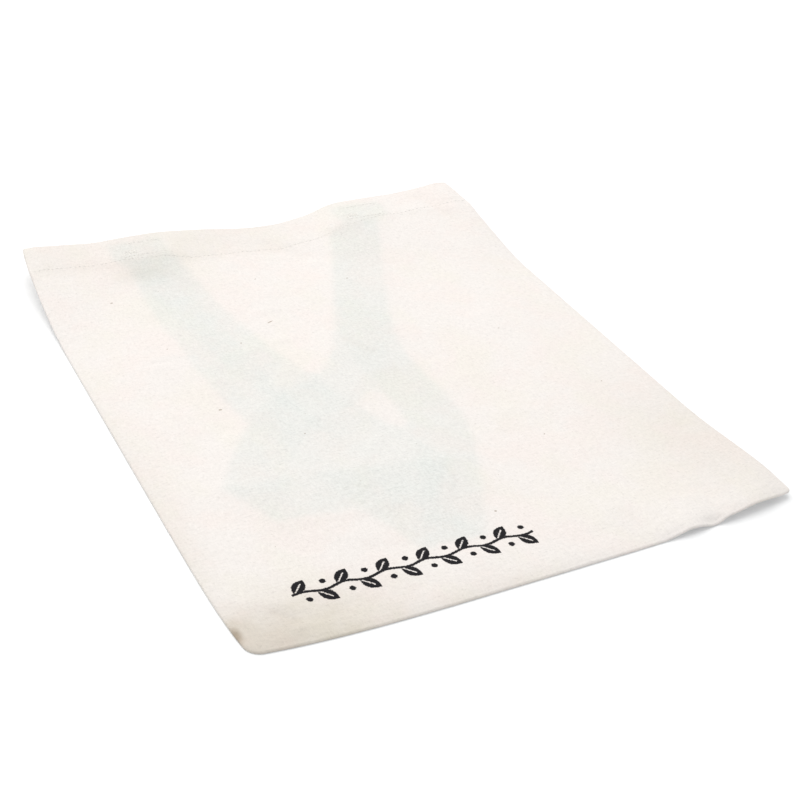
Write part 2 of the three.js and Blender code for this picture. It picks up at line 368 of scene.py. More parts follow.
# Floor, air and light; past the floor's fade it is as white as the air
FLOOR_GREY = 0.86
FLOOR_GLOW = 0.21
FLOOR_GLOW_COLOUR = (0.94, 0.97, 1)
FLOOR_FADE_METRES = (0.35, 2.5)
FLOOR_REACH_METRES = 6.0
FLOOR_DROP_METRES = 0.00002
WORLD_LEVEL = 0.58
AIR_WHITE = 1.05
AIR_COLOUR = (0.975, 0.99, 1)
LAMP_DIRECTION = (-0.10, 0.52, 1.32)
LAMP_DISTANCE_METRES = 2.6
LAMP_SIZE_METRES = 3.4
LAMP_WATTS = 50.5
LAMP_COLOUR = (1, 0.985, 0.965)

# Camera: degrees round and above the bag, roll, and what it looks at
CAMERA_AZIMUTH = -29.275
CAMERA_ELEVATION = 33.46
CAMERA_ROLL = 4.231
CAMERA_DISTANCE = 804.1
CAMERA_TARGET = (4.96, -30.43, 0)
CAMERA_FOCUS_PIXELS = 1463.9
PICTURE_PIXELS = 800
SENSOR_WIDTH = 36


# Heights by place

def smooth(value, start, end):
    """0 up to the start, 1 from the end on, and a soft rise between."""
    t = np.clip((np.asarray(value, float) - start) / (end - start), 0, 1)
    return t * t * (3 - 2 * t)


def through(points, at):
    """A smooth line through (place, value) points, read at some places."""
    places, values = np.array(points, float).T
    slopes = np.gradient(values, places)
    i = np.clip(np.searchsorted(places, at) - 1, 0, len(places) - 2)
    span = places[i + 1] - places[i]
    t = np.clip((at - places[i]) / span, 0, 1)
    a = (1 + 2 * t) * (1 - t) ** 2
    b = t * (1 - t) ** 2 * span
    c = t * t * (3 - 2 * t)
    d = t * t * (t - 1) * span
    return a * values[i] + b * slopes[i] + c * values[i + 1] + d * slopes[i + 1]


def lift_at(x, y):
    """Height of the back cloth above the floor."""
    outward = smooth(np.abs(x), LIFT_FREE_HALF_WIDTH, HALF_WIDTH)
    mouth = smooth(y, MOUTH_Y - MOUTH_LIFT_REACH, MOUTH_Y)
    left = LEFT_MOUTH_LIFT * mouth
    right = RIGHT_MOUTH_LIFT * mouth + through(RIGHT_EDGE_LIFT, y - BOTTOM_Y)
    return outward * np.where(x < 0, left, right)


def lie(x, y):
    """Height of the back cloth above the floor, with the small waves of the bottom edge."""
    near_bottom = 1 - smooth(y, BOTTOM_Y, BOTTOM_Y + BOTTOM_WAVE_REACH)
    return lift_at(x, y) + through(BOTTOM_WAVES, x) * near_bottom


# Handle routes, repeated from the frame's source

def inside_layer(layer):
    """Middle height of a strap in one of the layers inside the bag."""
    return FRAME_CLOTH + LAYER_CLEARANCE + STRAP_THICKNESS / 2 + layer * (STRAP_THICKNESS + LAYER_CLEARANCE)


def hem_layer(layer):
    """Middle height of a strap in one of the layers under the hem."""
    slack = HANDLE_SLACK if layer > 1 else 0
    return inside_layer(layer) + HEM_CLEARANCE + FRAME_HEM + slack


def rising_to_hem(inside, hem):
    """The strap rises from its layer inside the bag to the one at the hem."""
    def height(points):
        rise = smooth(points[:, 1], HEM_EDGE_Y - HEM_RAMP, HEM_EDGE_Y)
        return inside(points) * (1 - rise) + hem_layer(hem) * rise
    return height


def level(layer):
    """The strap stays in one layer."""
    return lambda points: np.full(len(points), inside_layer(layer))


def between_levels(low, high, start):
    """The strap sinks from one layer to a lower one over a short ramp."""
    def height(points):
        share = smooth(points[:, 1], start, start + LEVEL_RAMP)
        return inside_layer(high) * (1 - share) + inside_layer(low) * share
    return height


def spline(points, count=400):
    """Even samples of a smooth line through the points."""
    p = np.array(points, float)
    ends = np.vstack([p[0], p, p[-1]])
    t = np.linspace(0, 1, 80, endpoint=False)[:, None]
    parts = []
    for i in range(1, len(ends) - 2):
        v0 = (ends[i + 1] - ends[i - 1]) / 2
        v1 = (ends[i + 2] - ends[i]) / 2
        a = 2 * ends[i] - 2 * ends[i + 1] + v0 + v1
        b = -3 * ends[i] + 3 * ends[i + 1] - 2 * v0 - v1
        parts.append(a * t ** 3 + b * t ** 2 + v0 * t + ends[i])
    line = np.vstack([*parts, p[-1:]])
    along = np.concatenate([[0], np.cumsum(np.linalg.norm(np.diff(line, axis=0), axis=1))])
    places = np.linspace(0, along[-1], count)
    return np.column_stack([np.interp(places, along, line[:, k]) for k in range(2)])


def sewn_end(x, hem, outwards):
    """The short end that is sewn under the hem, up to the fold over the mouth edge."""
    ends = [(x, STRAP_END_Y), (x, LEFT_STRAP_FOLD_Y if x < 0 else RIGHT_STRAP_FOLD_Y)]
    return (ends if outwards else ends[::-1], lambda points: np.full(len(points), hem_layer(hem)))


def front_handle_runs():
    """Flat runs of the front handle between its folds, each with its heights."""
    right_fold = (-11, BOTTOM_Y + 83)
    left_fold = (-HALF_WIDTH + 41, BOTTOM_Y + 98.5)
    bend = (-HALF_WIDTH + 86, BOTTOM_Y + 161)
    sink = right_fold[1] + STRAP_WIDTH / 2 + LEVEL_RAMP / 3
    return [
        sewn_end(-STRAP_X, 3, True),
        (
            [(-STRAP_X, LEFT_STRAP_FOLD_Y), (-STRAP_X + 19.5, MOUTH_Y - 154.5), right_fold],
            rising_to_hem(between_levels(1, 2, sink), 2),
        ),
        ([right_fold, left_fold], level(3)),
        (
            [left_fold, bend, (STRAP_X - 78.5, MOUTH_Y - 174), (STRAP_X, RIGHT_STRAP_FOLD_Y)],
            rising_to_hem(level(2), 2),
        ),
        sewn_end(STRAP_X, 3, False),
    ]


def back_handle_runs():
    """Flat runs of the back handle between its folds, each with its heights."""
    tip = (-29, BOTTOM_Y + 37.5)
    turn_y = BOTTOM_Y + 127.5
    apart = tip[1] + STRAP_WIDTH * 1.6
    return [
        sewn_end(-STRAP_X, 0, True),
        (
            [(-STRAP_X, LEFT_STRAP_FOLD_Y), (-STRAP_X + 3, MOUTH_Y - 154.5), (-59.5, turn_y), tip],
            rising_to_hem(level(0), 1),
        ),
        (
            [tip, (10.6, turn_y), (STRAP_X - 61.1, MOUTH_Y - 154.5), (STRAP_X, RIGHT_STRAP_FOLD_Y)],
            rising_to_hem(between_levels(0, 1, apart), 1),
        ),
        sewn_end(STRAP_X, 0, False),
    ]


def left_of(direction):
    """The direction a quarter turn to the left."""
    return np.array([-direction[1], direction[0]])


def run_sections(line, height, tangent, side, start_half, end_half):
    """Middles and half widths along one flat run, whose ends follow the lines of its folds."""
    length = np.linalg.norm(np.diff(line, axis=0), axis=1).sum()
    count = max(2, round(length / SECTION_STEP))
    start_reach = abs(start_half.dot(tangent[0])) + FOLD_BLEND
    end_reach = abs(end_half.dot(tangent[-1])) + FOLD_BLEND
    middles, halves = [], []
    for i in range(count + 1):
        share = i / count
        place = share * (len(line) - 1)
        low = min(int(place), len(line) - 2)
        part = place - low
        middle = line[low] * (1 - part) + line[low + 1] * part
        z = height[low] * (1 - part) + height[low + 1] * part
        plain = left_of(tangent[min(round(place), len(line) - 1)]) * side * STRAP_WIDTH / 2
        near_start = 1 - smooth(share * length, 0, start_reach)
        near_end = 1 - smooth((1 - share) * length, 0, end_reach)
        half = plain * (1 - near_start - near_end) + start_half * near_start + end_half * near_end
        middles.append([*middle, z])
        halves.append([*half, 0])
    return middles, halves


def fold_sections(end, tangent, fold_half, z_from, z_to):
    """Middles and upward directions round a fold, half a turn from one layer to the next."""
    outward = left_of(fold_half)
    outward /= np.linalg.norm(outward)
    if outward.dot(tangent) < 0:
        outward = -outward
    rise = (z_to - z_from) / 2
    middles, ups = [], []
    for i in range(1, FOLD_STEPS):
        angle = math.pi * i / FOLD_STEPS
        reach = abs(rise) * math.sin(angle)
        turn = -np.sign(rise) * math.sin(angle)
        middles.append([*(end + outward * reach), z_from + rise * (1 - math.cos(angle))])
        ups.append(np.array([outward[0] * turn, outward[1] * turn, math.cos(angle)]))
    return middles, ups


def strap_sections(runs):
    """Middle, half width and upward direction of each section of a strap, and its run's number."""
    lines = [spline(points) for points, _ in runs]
    tangents = [np.gradient(line, axis=0) for line in lines]
    tangents = [t / np.linalg.norm(t, axis=1)[:, None] for t in tangents]
    middles, halves, normals, numbers = [], [], [], []
    side, face = 1, 1
    start_half = left_of(tangents[0][0]) * STRAP_WIDTH / 2
    for k, (line, tangent) in enumerate(zip(lines, tangents)):
        height = runs[k][1](line)
        last = k + 1 == len(lines)
        if last:
            end_half = left_of(tangent[-1]) * side * STRAP_WIDTH / 2
        else:
            fold = tangent[-1] + tangents[k + 1][0]
            fold /= np.linalg.norm(fold)
            end_half = fold * side * STRAP_WIDTH / 2 / fold.dot(left_of(tangent[-1]))
        run_middles, run_halves = run_sections(line, height, tangent, side, start_half, end_half)
        middles += run_middles
        halves += run_halves
        normals += [[0, 0, face]] * len(run_middles)
        numbers += [k] * len(run_middles)
        if last:
            break
        next_height = runs[k + 1][1](line[-1:])[0]
        fold_middles, ups = fold_sections(line[-1], tangent[-1], end_half, height[-1], next_height)
        middles += fold_middles
        halves += [[*end_half, 0]] * len(fold_middles)
        normals += [up * face for up in ups]
        numbers += [k + 0.5] * len(fold_middles)
        # each fold turns the strap over
        side, face, start_half = -side, -face, end_half
    return np.array(middles), np.array(halves), np.array(normals), np.array(numbers)


# Meshes from grids of points

def grid_normals(points):
    """Unit normals of a grid of points."""
    across = np.gradient(points, axis=1)
    along = np.gradient(points, axis=0)
    normals = np.cross(across, along)
    return normals / np.linalg.norm(normals, axis=2)[:, :, None]


def new_piece(name, points, faces, uv, material, fields=None):
    """A smooth mesh object from points in millimetres."""
    mesh = bpy.data.meshes.new(name)
    mesh.from_pydata((np.asarray(points) * MM).tolist(), [], faces)
    mesh.polygons.foreach_set("use_smooth", [True] * len(mesh.polygons))
    layer = mesh.uv_layers.new(name="flat_cloth")
    corners = np.empty(len(mesh.loops), np.int32)
    mesh.loops.foreach_get("vertex_index", corners)
    layer.data.foreach_set("uv", (np.asarray(uv)[corners] * MM).astype(np.float32).ravel())
    for key, values in (fields or {}).items():
        attribute = mesh.attributes.new(key, "FLOAT", "POINT")
        attribute.data.foreach_set("value", np.asarray(values, np.float32))
    mesh.materials.append(material)
    piece = bpy.data.objects.new(name, mesh)
    bpy.context.scene.collection.objects.link(piece)
    return piece


def layer_faces(rows, columns):
    """Faces of a closed layer whose upper points come first, then its lower ones."""
    index = np.arange(rows * columns).reshape(rows, columns)
    a, b = index[:-1, :-1].ravel(), index[:-1, 1:].ravel()
    c, d = index[1:, 1:].ravel(), index[1:, :-1].ravel()
    under = rows * columns
    upper = np.column_stack([a, b, c, d])
    lower = np.column_stack([a, d, c, b]) + under
    rim = np.concatenate([index[0, :], index[1:, -1], index[-1, -2::-1], index[-2:0:-1, 0]])
    following = np.roll(rim, -1)
    walls = np.column_stack([rim, rim + under, following + under, following])
    return upper, lower, walls


def cloth_layer(name, centre, uv, material, thickness=CLOTH, fields=None, normals=None):
    """A sheet of cloth as a closed solid on both sides of a grid of points."""
    rows, columns = centre.shape[:2]
    normals = grid_normals(centre) if normals is None else normals
    half = normals * thickness / 2
    points = np.concatenate([(centre + half).reshape(-1, 3), (centre - half).reshape(-1, 3)])
    faces = np.concatenate(layer_faces(rows, columns)).tolist()
    flat = np.tile(uv.reshape(-1, 2), (2, 1))
    both = {key: np.tile(values.ravel(), 2) for key, values in (fields or {}).items()}
    piece = new_piece(name, points, faces, flat, material, both)
    piece.data.set_sharp_from_angle(angle=math.radians(50))
    return piece


# The flat cut and how its edges turn in

def edge_stations():
    """Distances from the edge of the cut, close together where it turns in."""
    return np.linspace(0, EDGE_ARC, EDGE_ROWS)


def across_stations():
    """Places across the cut, from its left edge to its right one."""
    count = round(INNER_HALF_WIDTH / GRID_STEP)
    inner = np.linspace(-INNER_HALF_WIDTH, 0, count + 1)
    half = np.concatenate([-FLAT_HALF_WIDTH + edge_stations()[:-1], inner])
    return np.concatenate([half, -half[-2::-1]])


def along_stations():
    """Places along the cut, from its bottom edge to the mouth."""
    start = BOTTOM_Y + EDGE_START
    count = round((MOUTH_Y - start) / GRID_STEP)
    return np.concatenate([FLAT_BOTTOM + edge_stations()[:-1], np.linspace(start, MOUTH_Y, count + 1)])


ACROSS = across_stations()
ALONG = along_stations()
FLAT_X, FLAT_Y = np.meshgrid(ACROSS, ALONG)
FLAT_UV = np.dstack([FLAT_X, FLAT_Y])


def plan_and_turn():
    """Each point of the cut: its place from above, its turn round the edge, its distance inside the turn."""
    radius = np.where(FLAT_X < 0, LEFT_CORNER_RADIUS, RIGHT_CORNER_RADIUS)
    from_side = FLAT_HALF_WIDTH - np.abs(FLAT_X)
    from_bottom = FLAT_Y - FLAT_BOTTOM
    # a point near a bottom corner moves onto a quarter circle
    p = np.clip(1 - from_side / radius, 0, 1)
    q = np.clip(1 - from_bottom / radius, 0, 1)
    corner = (p > 0) & (q > 0)
    round_p = np.where(corner, p * np.sqrt(1 - q * q / 2), p)
    round_q = np.where(corner, q * np.sqrt(1 - p * p / 2), q)
    reach = np.maximum(np.hypot(round_p, round_q), 1e-9)
    from_edge = np.where(corner, radius * (1 - reach), np.minimum(from_side, from_bottom))
    right = np.sign(FLAT_X)
    x = np.where(corner, right * (FLAT_HALF_WIDTH - radius * (1 - round_p)), FLAT_X)
    y = np.where(corner, FLAT_BOTTOM + radius * (1 - round_q), FLAT_Y)
    side = from_side < from_bottom
    out_x = np.where(corner, right * round_p / reach, np.where(side, right, 0))
    out_y = np.where(corner, -round_q / reach, np.where(side, 0, -1.0))
    turned = np.clip(EDGE_ARC - from_edge, 0, EDGE_ARC) / EDGE_RADIUS
    shift = EDGE_RADIUS * (np.sin(turned) - turned)
    x = x + out_x * shift
    y = y + out_y * shift
    u = np.clip(x / HALF_WIDTH, -1, 1)
    v = np.clip((y - MIDDLE_Y) / HALF_LENGTH, -1, 1)
    drawn_in = np.where((u > 0) & (v < 0), RIGHT_CORNER_DRAW_IN, CORNER_DRAW_IN)
    x = x - u * drawn_in * np.abs(v) ** 8
    y = y - np.where(v < 0, v * BOTTOM_BOW * u ** 4, v * CORNER_DRAW_IN * u ** 8)
    return x, y, turned, np.maximum(from_edge - EDGE_ARC, 0)


PLAN_X, PLAN_Y, TURNED, FROM_ROLL = plan_and_turn()
TURN_SHARE = (1 - np.cos(TURNED)) / (1 - math.cos(EDGE_TURN))


# Fields over the cut

def blurred(field, passes):
    """Each cell mixed with its four neighbours, a number of times."""
    for _ in range(passes):
        padded = np.pad(field, 1, mode="edge")
        field = (padded[:-2, 1:-1] + padded[2:, 1:-1] + padded[1:-1, :-2] + padded[1:-1, 2:] + 4 * field) / 8
    return field


def widened(field, cells):
    """Highest value within a few grid cells."""
    for _ in range(cells):
        padded = np.pad(field, 1, mode="edge")
        field = np.maximum.reduce([
            padded[1:-1, 1:-1], padded[:-2, 1:-1], padded[2:, 1:-1], padded[1:-1, :-2], padded[1:-1, 2:],
        ])
    return field


def patch(x, y, across, along):
    """A soft patch, 1 at its middle."""
    return np.exp(-(((PLAN_X - x) / across) ** 2) - (((PLAN_Y - y) / along) ** 2))


def resampled(field, rows, columns):
    """The field on a coarser or finer grid."""
    old_rows = np.linspace(0, 1, field.shape[0])
    old_columns = np.linspace(0, 1, field.shape[1])
    new_rows = np.linspace(0, 1, rows)
    new_columns = np.linspace(0, 1, columns)
    part = np.array([np.interp(new_columns, old_columns, line) for line in field])
    return np.array([np.interp(new_rows, old_rows, line) for line in part.T]).T


def relaxed(start, floor, fixed, target):
    """The cloth under tension and its own weight, resting on what lies under it, coarse grid first."""
    height = None
    rows, columns = start.shape
    for divide in (8, 4, 2, 1):
        r, c = max(rows // divide, 8), max(columns // divide, 8)
        level_floor, level_fixed, level_target, level_start = (
            resampled(field, r, c) for field in (floor, fixed, target, start)
        )
        height = level_start if height is None else resampled(height, r, c)
        for _ in range(DRAPE_PASSES):
            padded = np.pad(height, 1, mode="edge")
            mean = (padded[:-2, 1:-1] + padded[2:, 1:-1] + padded[1:-1, :-2] + padded[1:-1, 2:]) / 4
            height = np.maximum(mean - CLOTH_WEIGHT * divide * divide, level_floor)
            height = height + (level_target - height) * level_fixed
    return height


def softly_raised(height, floor):
    """Raises a stiff cloth smoothly wherever it has sunk below what lies under it."""
    for _ in range(RAISE_ROUNDS):
        short = np.maximum(floor - height, 0)
        height = height + blurred(widened(short, RAISE_CELLS), RAISE_SOFTENING)
    return height


def hem_line(x):
    """How much deeper the front's hem is between the handles, where the mouth has been pulled."""
    return HEM_SAG * smooth(x, *HEM_SAG_LEFT) * (1 - smooth(x, *HEM_SAG_RIGHT))


def strap_top_map(handles):
    """Height of the highest strap under each point of the grid, and how many straps lie there."""
    top = np.zeros(PLAN_X.shape)
    count = np.zeros(PLAN_X.shape)
    for middles, halves, _, numbers in handles:
        for number in np.unique(numbers[numbers % 1 == 0]):
            m, h = middles[numbers == number], halves[numbers == number]
            sections = np.arange(len(m))
            fine = np.linspace(0, len(m) - 1, len(m) * 3)
            m = np.column_stack([np.interp(fine, sections, m[:, k]) for k in range(3)])
            h = np.column_stack([np.interp(fine, sections, h[:, k]) for k in range(3)])
            covered = np.zeros(PLAN_X.shape, bool)
            for edge in np.linspace(-1, 1, 61):
                p = m + h * edge
                i = np.clip(np.searchsorted(ALONG, p[:, 1]), 0, len(ALONG) - 1)
                j = np.clip(np.searchsorted(ACROSS, p[:, 0]), 0, len(ACROSS) - 1)
                np.maximum.at(top, (i, j), p[:, 2] + STRAP_THICKNESS / 2)
                covered[i, j] = True
            count += covered
    return top, count


def shown_straps(layers):
    """Painted shade where the straps show through the cloth: more where they lie doubled, with soft edges."""
    further = np.minimum(np.maximum(layers - 1, 0), 2)
    below = np.minimum(layers, 1) * SHOWN_ONCE + further * SHOWN_FURTHER
    # the sewn ends lie a little further out than the straps below them
    in_hem = PLAN_Y > HEM_EDGE_Y - hem_line(PLAN_X)
    near_strap = np.abs(np.abs(PLAN_X + SEWN_END_SHIFT) - STRAP_X) < STRAP_WIDTH / 2 + SEWN_END_MARGIN
    sewn = in_hem & (PLAN_Y < MOUTH_Y - SEWN_END_TOP_GAP) & near_strap
    below = np.where(in_hem, np.where(sewn, SHOWN_SEWN_END, SHOWN_IN_HEM * below), below)
    *place, lost = FAINTER
    below = below * (1 - lost * patch(*place))
    # narrow gaps between straps can't be made out through the cloth
    closed = -widened(-widened(below, 3), 3)
    return blurred(closed, 5)


def creases():
    """Height of the creases, and the painted shade of their sharper valleys."""
    field = np.zeros(PLAN_X.shape)
    darkening = np.zeros(PLAN_X.shape)
    for start, end, width, height in CREASES:
        a, b = np.array(start, float), np.array(end, float)
        along = b - a
        share = ((PLAN_X - a[0]) * along[0] + (PLAN_Y - a[1]) * along[1]) / along.dot(along)
        nearest = np.clip(share, 0, 1)
        gap = np.hypot(PLAN_X - a[0] - along[0] * nearest, PLAN_Y - a[1] - along[1] * nearest)
        shape = np.exp(-((gap / width) ** 2))
        field += height * shape
        # painted shade in the valleys, deeper where they are narrow
        darkening += max(-height, 0) / width * shape
    return field, darkening


def shaded_edge(from_edge, along, share, reach, fade_start, fade_end):
    """Painted shade beside an edge, less of it further in and further along."""
    return share * (np.exp(-from_edge / reach) * (1 - smooth(along, fade_start, fade_end)))


def shade_and_soil_places(crease_shade):
    """Where the cloth is painted darker: shade with some soil at the near bottom corner, and shade along the
    edges beside it.
    """
    stretch_x, stretch_y = SHADED_CORNER_STRETCH
    corner = np.hypot((PLAN_X + HALF_WIDTH) * stretch_x, (PLAN_Y - BOTTOM_Y) * stretch_y)
    share = SHADED_CORNER * np.exp(-((corner / SHADED_CORNER_REACH) ** 3))
    bottom = shaded_edge(PLAN_Y - BOTTOM_Y, PLAN_X, *SHADED_BOTTOM)
    left = shaded_edge(HALF_WIDTH + PLAN_X, PLAN_Y, *SHADED_LEFT)
    share = np.maximum(share, np.maximum(bottom, left))
    # painted shade over the hem, fading out towards the right
    at_hem = SHADED_HEM * smooth(PLAN_Y, HEM_EDGE_Y - 12, HEM_EDGE_Y)
    share = share + at_hem * (1 - smooth(PLAN_X, *SHADED_HEM_FADE))
    # patches painted darker
    for *place, strength in DARKER_PATCHES:
        share = share + strength * patch(*place)
    soft = blurred(np.clip(share, 0, 1), 3)
    # the seam's end at the near corner is darkest
    from_edge = np.maximum(HALF_WIDTH - CORNER_DRAW_IN + 1 + PLAN_X, 0)
    across, along = SEAM_END_REACH
    seam_end = np.exp(-((from_edge / across) ** 2)) * np.exp(-(((PLAN_Y - SEAM_END_Y) / along) ** 2))
    # the crease valleys add their painted shade
    return soft + SEAM_END_DARKNESS * seam_end + CREASE_SHADE_SHARE * crease_shade


# How the front lies over the handles

def undulation():
    """Slow waves of cloth that was folded and pressed, the same each run."""
    random = np.random.default_rng(12)
    field = np.zeros(PLAN_X.shape)
    for longest, shortest, height, count in SLOW_WAVES:
        for _ in range(count):
            length = random.uniform(shortest, longest)
            angle = random.uniform(0, math.pi)
            phase = random.uniform(0, 2 * math.pi)
            wave = (PLAN_X * math.cos(angle) + PLAN_Y * math.sin(angle)) * 2 * math.pi / length
            field += height * np.sin(wave + phase) / math.sqrt(count) * WAVES_TOGETHER
    return field


def small_creases():
    """Short soft creases left from folding, more of them over the handles."""
    random = np.random.default_rng(21)
    field = np.zeros(PLAN_X.shape)
    for k in range(SMALL_CREASES):
        if k % 3:
            x, y = random.uniform(*CREASED_ACROSS), random.uniform(*CREASED_ALONG)
        else:
            x, y = random.uniform(-HALF_WIDTH, HALF_WIDTH), random.uniform(BOTTOM_Y, MOUTH_Y)
        angle = random.uniform(0, math.pi)
        length = random.uniform(*SMALL_CREASE_LENGTHS)
        width = random.uniform(*SMALL_CREASE_WIDTHS)
        along = (PLAN_X - x) * math.cos(angle) + (PLAN_Y - y) * math.sin(angle)
        across = (PLAN_Y - y) * math.cos(angle) - (PLAN_X - x) * math.sin(angle)
        across = across + along ** 2 * random.uniform(-SMALL_CREASE_BEND, SMALL_CREASE_BEND)
        height = random.normal(0, SMALL_CREASE_HEIGHT)
        field += height * np.exp(-((along / length) ** 2) - (across / width) ** 2)
    return field


def hem_puckers(from_line):
    """The stitch line pulls the cloth into a shallow groove with small puckers across it."""
    random = np.random.default_rng(7)
    along = np.zeros(len(ACROSS))
    for length in PUCKER_LENGTHS:
        wave = np.sin(ACROSS * 2 * math.pi / length + random.uniform(0, 2 * math.pi))
        along += wave * random.uniform(0.7, 1.0)
    groove = -GROOVE_DEPTH * np.exp(-((from_line / GROOVE_HALF_WIDTH) ** 2))
    puckers = PUCKER_HEIGHT * along[None, :] * np.exp(-((from_line / PUCKER_REACH) ** 2))
    step = HEM_STEP * smooth(from_line, -HEM_STEP_LENGTH, 0.0)
    return groove + puckers + step


def ridge(height, middle, half_width):
    """A soft ridge along the rolled edge."""
    return height * np.exp(-(((FROM_ROLL - middle) / half_width) ** 2))


def seam_relief():
    """Ridge and dip along the side seams, and the cloth's sink past the ends of the seam edges."""
    beside_side = (FLAT_HALF_WIDTH - np.abs(FLAT_X)) < (FLAT_Y - FLAT_BOTTOM)
    along_side = ridge(*SEAM_RISE) - ridge(*SEAM_DIP)
    past_seam = -SINK_PAST_SEAM * smooth(FROM_ROLL, *SINK_STARTS) * (1 - smooth(FROM_ROLL, *SINK_ENDS))
    return np.where(beside_side, along_side, 0) + past_seam


def under_front(strap_tops):
    """The least height of the front over the straps and their sewn ends; 0 where none lie."""
    in_hem = PLAN_Y > HEM_EDGE_Y
    over_strap_end = np.abs(np.abs(PLAN_X) - STRAP_X) < STRAP_WIDTH / 2 + 1
    sewn_top = hem_layer(3) + STRAP_THICKNESS / 2
    top = np.maximum(strap_tops, np.where(in_hem & over_strap_end, sewn_top, 0))
    straps = np.where(top > 0, top + CLOTH / 2 + OVER_STRAPS, 0)
    over_hem = np.where(top > 0, straps + CLOTH + OVER_HEM, 0)
    return np.where(in_hem, over_hem, straps)


def draped(free, hem_height, layers):
    """The cloth sinks between the handles, held at its edges and drawn to the hem's measured line."""
    floor = np.maximum(free, layers)
    soft_floor = softly_raised(blurred(widened(floor, 2), FLOOR_SOFTENING), floor)
    in_hem = PLAN_Y > HEM_EDGE_Y
    held = np.where(in_hem, HEM_PULL, 0.0)
    held[TURNED > 0] = 1
    target = np.where(in_hem, hem_height, free)
    height = relaxed(np.maximum(soft_floor, free), soft_floor, held, target)
    return softly_raised(blurred(height, CLOTH_SOFTENING), floor)


def with_relief(height, crease_height):
    """The draped cloth with its waves and creases, the hem's stitch line and the seam edges."""
    inside = smooth(FROM_ROLL, 0, WAVES_FULL_AT)
    calm = inside * (1 - CALM_IN_HEM * smooth(PLAN_Y, HEM_EDGE_Y - 10, HEM_EDGE_Y + 6))
    crease_share = CREASES_AT_EDGE + (1 - CREASES_AT_EDGE) * inside
    height = height + (undulation() + small_creases()) * calm + crease_height * crease_share
    from_line = PLAN_Y - (HEM_STITCHES_Y - hem_line(PLAN_X))
    return height + hem_puckers(from_line) * smooth(FROM_ROLL, 0, 5) + seam_relief()


def front_height(strap_tops, crease_height):
    """Height of the front cloth's middle surface, before its edges turn down."""
    lying = lie(PLAN_X, PLAN_Y)
    free = lying + EDGE_HEIGHT + (PUFF_HEIGHT - EDGE_HEIGHT) * (1 - np.exp(-FROM_ROLL / PUFF_REACH))
    share = smooth(PLAN_Y, HEM_EDGE_Y, MOUTH_Y)
    hem_height = through(HEM_LINE, PLAN_X) * (1 - share) + through(MOUTH_LINE, PLAN_X) * share - CLOTH / 2
    layers = under_front(strap_tops)
    height = with_relief(draped(free, hem_height, layers), crease_height)
    # nothing below is pierced
    least = lying + EDGE_HEIGHT + (LEAST_OVER_SEAMS - EDGE_HEIGHT) * smooth(FROM_ROLL, *SEAMS_FROM_ROLL)
    least = least - (LEAST_OVER_SEAMS - LEAST_INSIDE) * smooth(FROM_ROLL, *PAST_SEAMS_FROM_ROLL)
    solid = np.maximum(least, layers)
    height = np.where(TURNED > 0, height, softly_raised(height, solid - LET_IN))
    # a smooth line for the rolled edge to start from
    edge = free + (hem_height - free) * smooth(PLAN_Y, HEM_EDGE_Y - 18, HEM_EDGE_Y)
    return height + (edge - height) * (1 - smooth(FROM_ROLL, 0, EDGE_BLEND))


# Sheets: grids of the middle surface of each cloth

class Sheet:
    """A cloth's middle surface over the flat cut."""

    def __init__(self, points):
        self.points = points
        self.normals = grid_normals(points)

    def at(self, x, y, side=1, out=0.0):
        """Points on one face of the cloth at flat places."""
        i = np.clip(np.interp(y, ALONG, np.arange(len(ALONG))), 0, len(ALONG) - 1.001)
        j = np.clip(np.interp(x, ACROSS, np.arange(len(ACROSS))), 0, len(ACROSS) - 1.001)
        i0, j0 = i.astype(int), j.astype(int)
        a, b = (i - i0)[:, None], (j - j0)[:, None]

        def mixed(grid):
            low = grid[i0, j0] * (1 - b) + grid[i0, j0 + 1] * b
            high = grid[i0 + 1, j0] * (1 - b) + grid[i0 + 1, j0 + 1] * b
            return low * (1 - a) + high * a

        normal = mixed(self.normals) * side
        return mixed(self.points) + normal * (CLOTH / 2 + out), normal


def mouth_dip(x):
    """How far the front's mouth edge is pulled in between the handles."""
    return MOUTH_DIP * np.clip(1 - ((x - MOUTH_DIP_X) / MOUTH_DIP_HALF_WIDTH) ** 2, 0, None) ** 2


def turned_down(height):
    """Turns the front's edges down round the seam, to just above the back cloth."""
    end = lie(PLAN_X, PLAN_Y) + EDGE_END_HEIGHT
    return height - (height - end) * TURN_SHARE


def front_sheet(strap_tops, crease_height):
    """The front's middle surface."""
    pulled = mouth_dip(PLAN_X) * smooth(PLAN_Y, MOUTH_Y - MOUTH_DIP_LENGTH, MOUTH_Y)
    height = turned_down(front_height(strap_tops, crease_height))
    return Sheet(np.dstack([PLAN_X, PLAN_Y - pulled, height]))


def back_sheet():
    """The back's edges lie just inside the front's and curl up a little."""
    z = CLOTH / 2 + UNDER_BACK + lie(PLAN_X, PLAN_Y) + BACK_EDGE_CURL * TURN_SHARE
    x = PLAN_X * (1 - BACK_EDGE_INSET / HALF_WIDTH)
    y = PLAN_Y + BACK_EDGE_INSET * (1 - smooth(PLAN_Y, BOTTOM_Y, BOTTOM_Y + BACK_INSET_LENGTH))
    return Sheet(np.dstack([x, y, z]))


# Nodes

def node_group(name, inputs, outputs, kind="ShaderNodeTree"):
    """A new group with its sockets, and its inner input and output nodes."""
    tree = bpy.data.node_groups.new(name, kind)
    for label, socket_kind, value in inputs:
        socket = tree.interface.new_socket(name=label, in_out="INPUT", socket_type=socket_kind)
        if value is not None:
            socket.default_value = value
    for label, socket_kind in outputs:
        tree.interface.new_socket(name=label, in_out="OUTPUT", socket_type=socket_kind)
    return tree, tree.nodes.new("NodeGroupInput"), tree.nodes.new("NodeGroupOutput")


def add(tree, kind, **settings):
    """A new node with its settings."""
    node = tree.nodes.new(kind)
    for key, value in settings.items():
        setattr(node, key, value)
    return node


def set_values(node, values):
    """Plain values for a node's inputs, by their labels."""
    for label, value in values.items():
        node.inputs[label].default_value = value


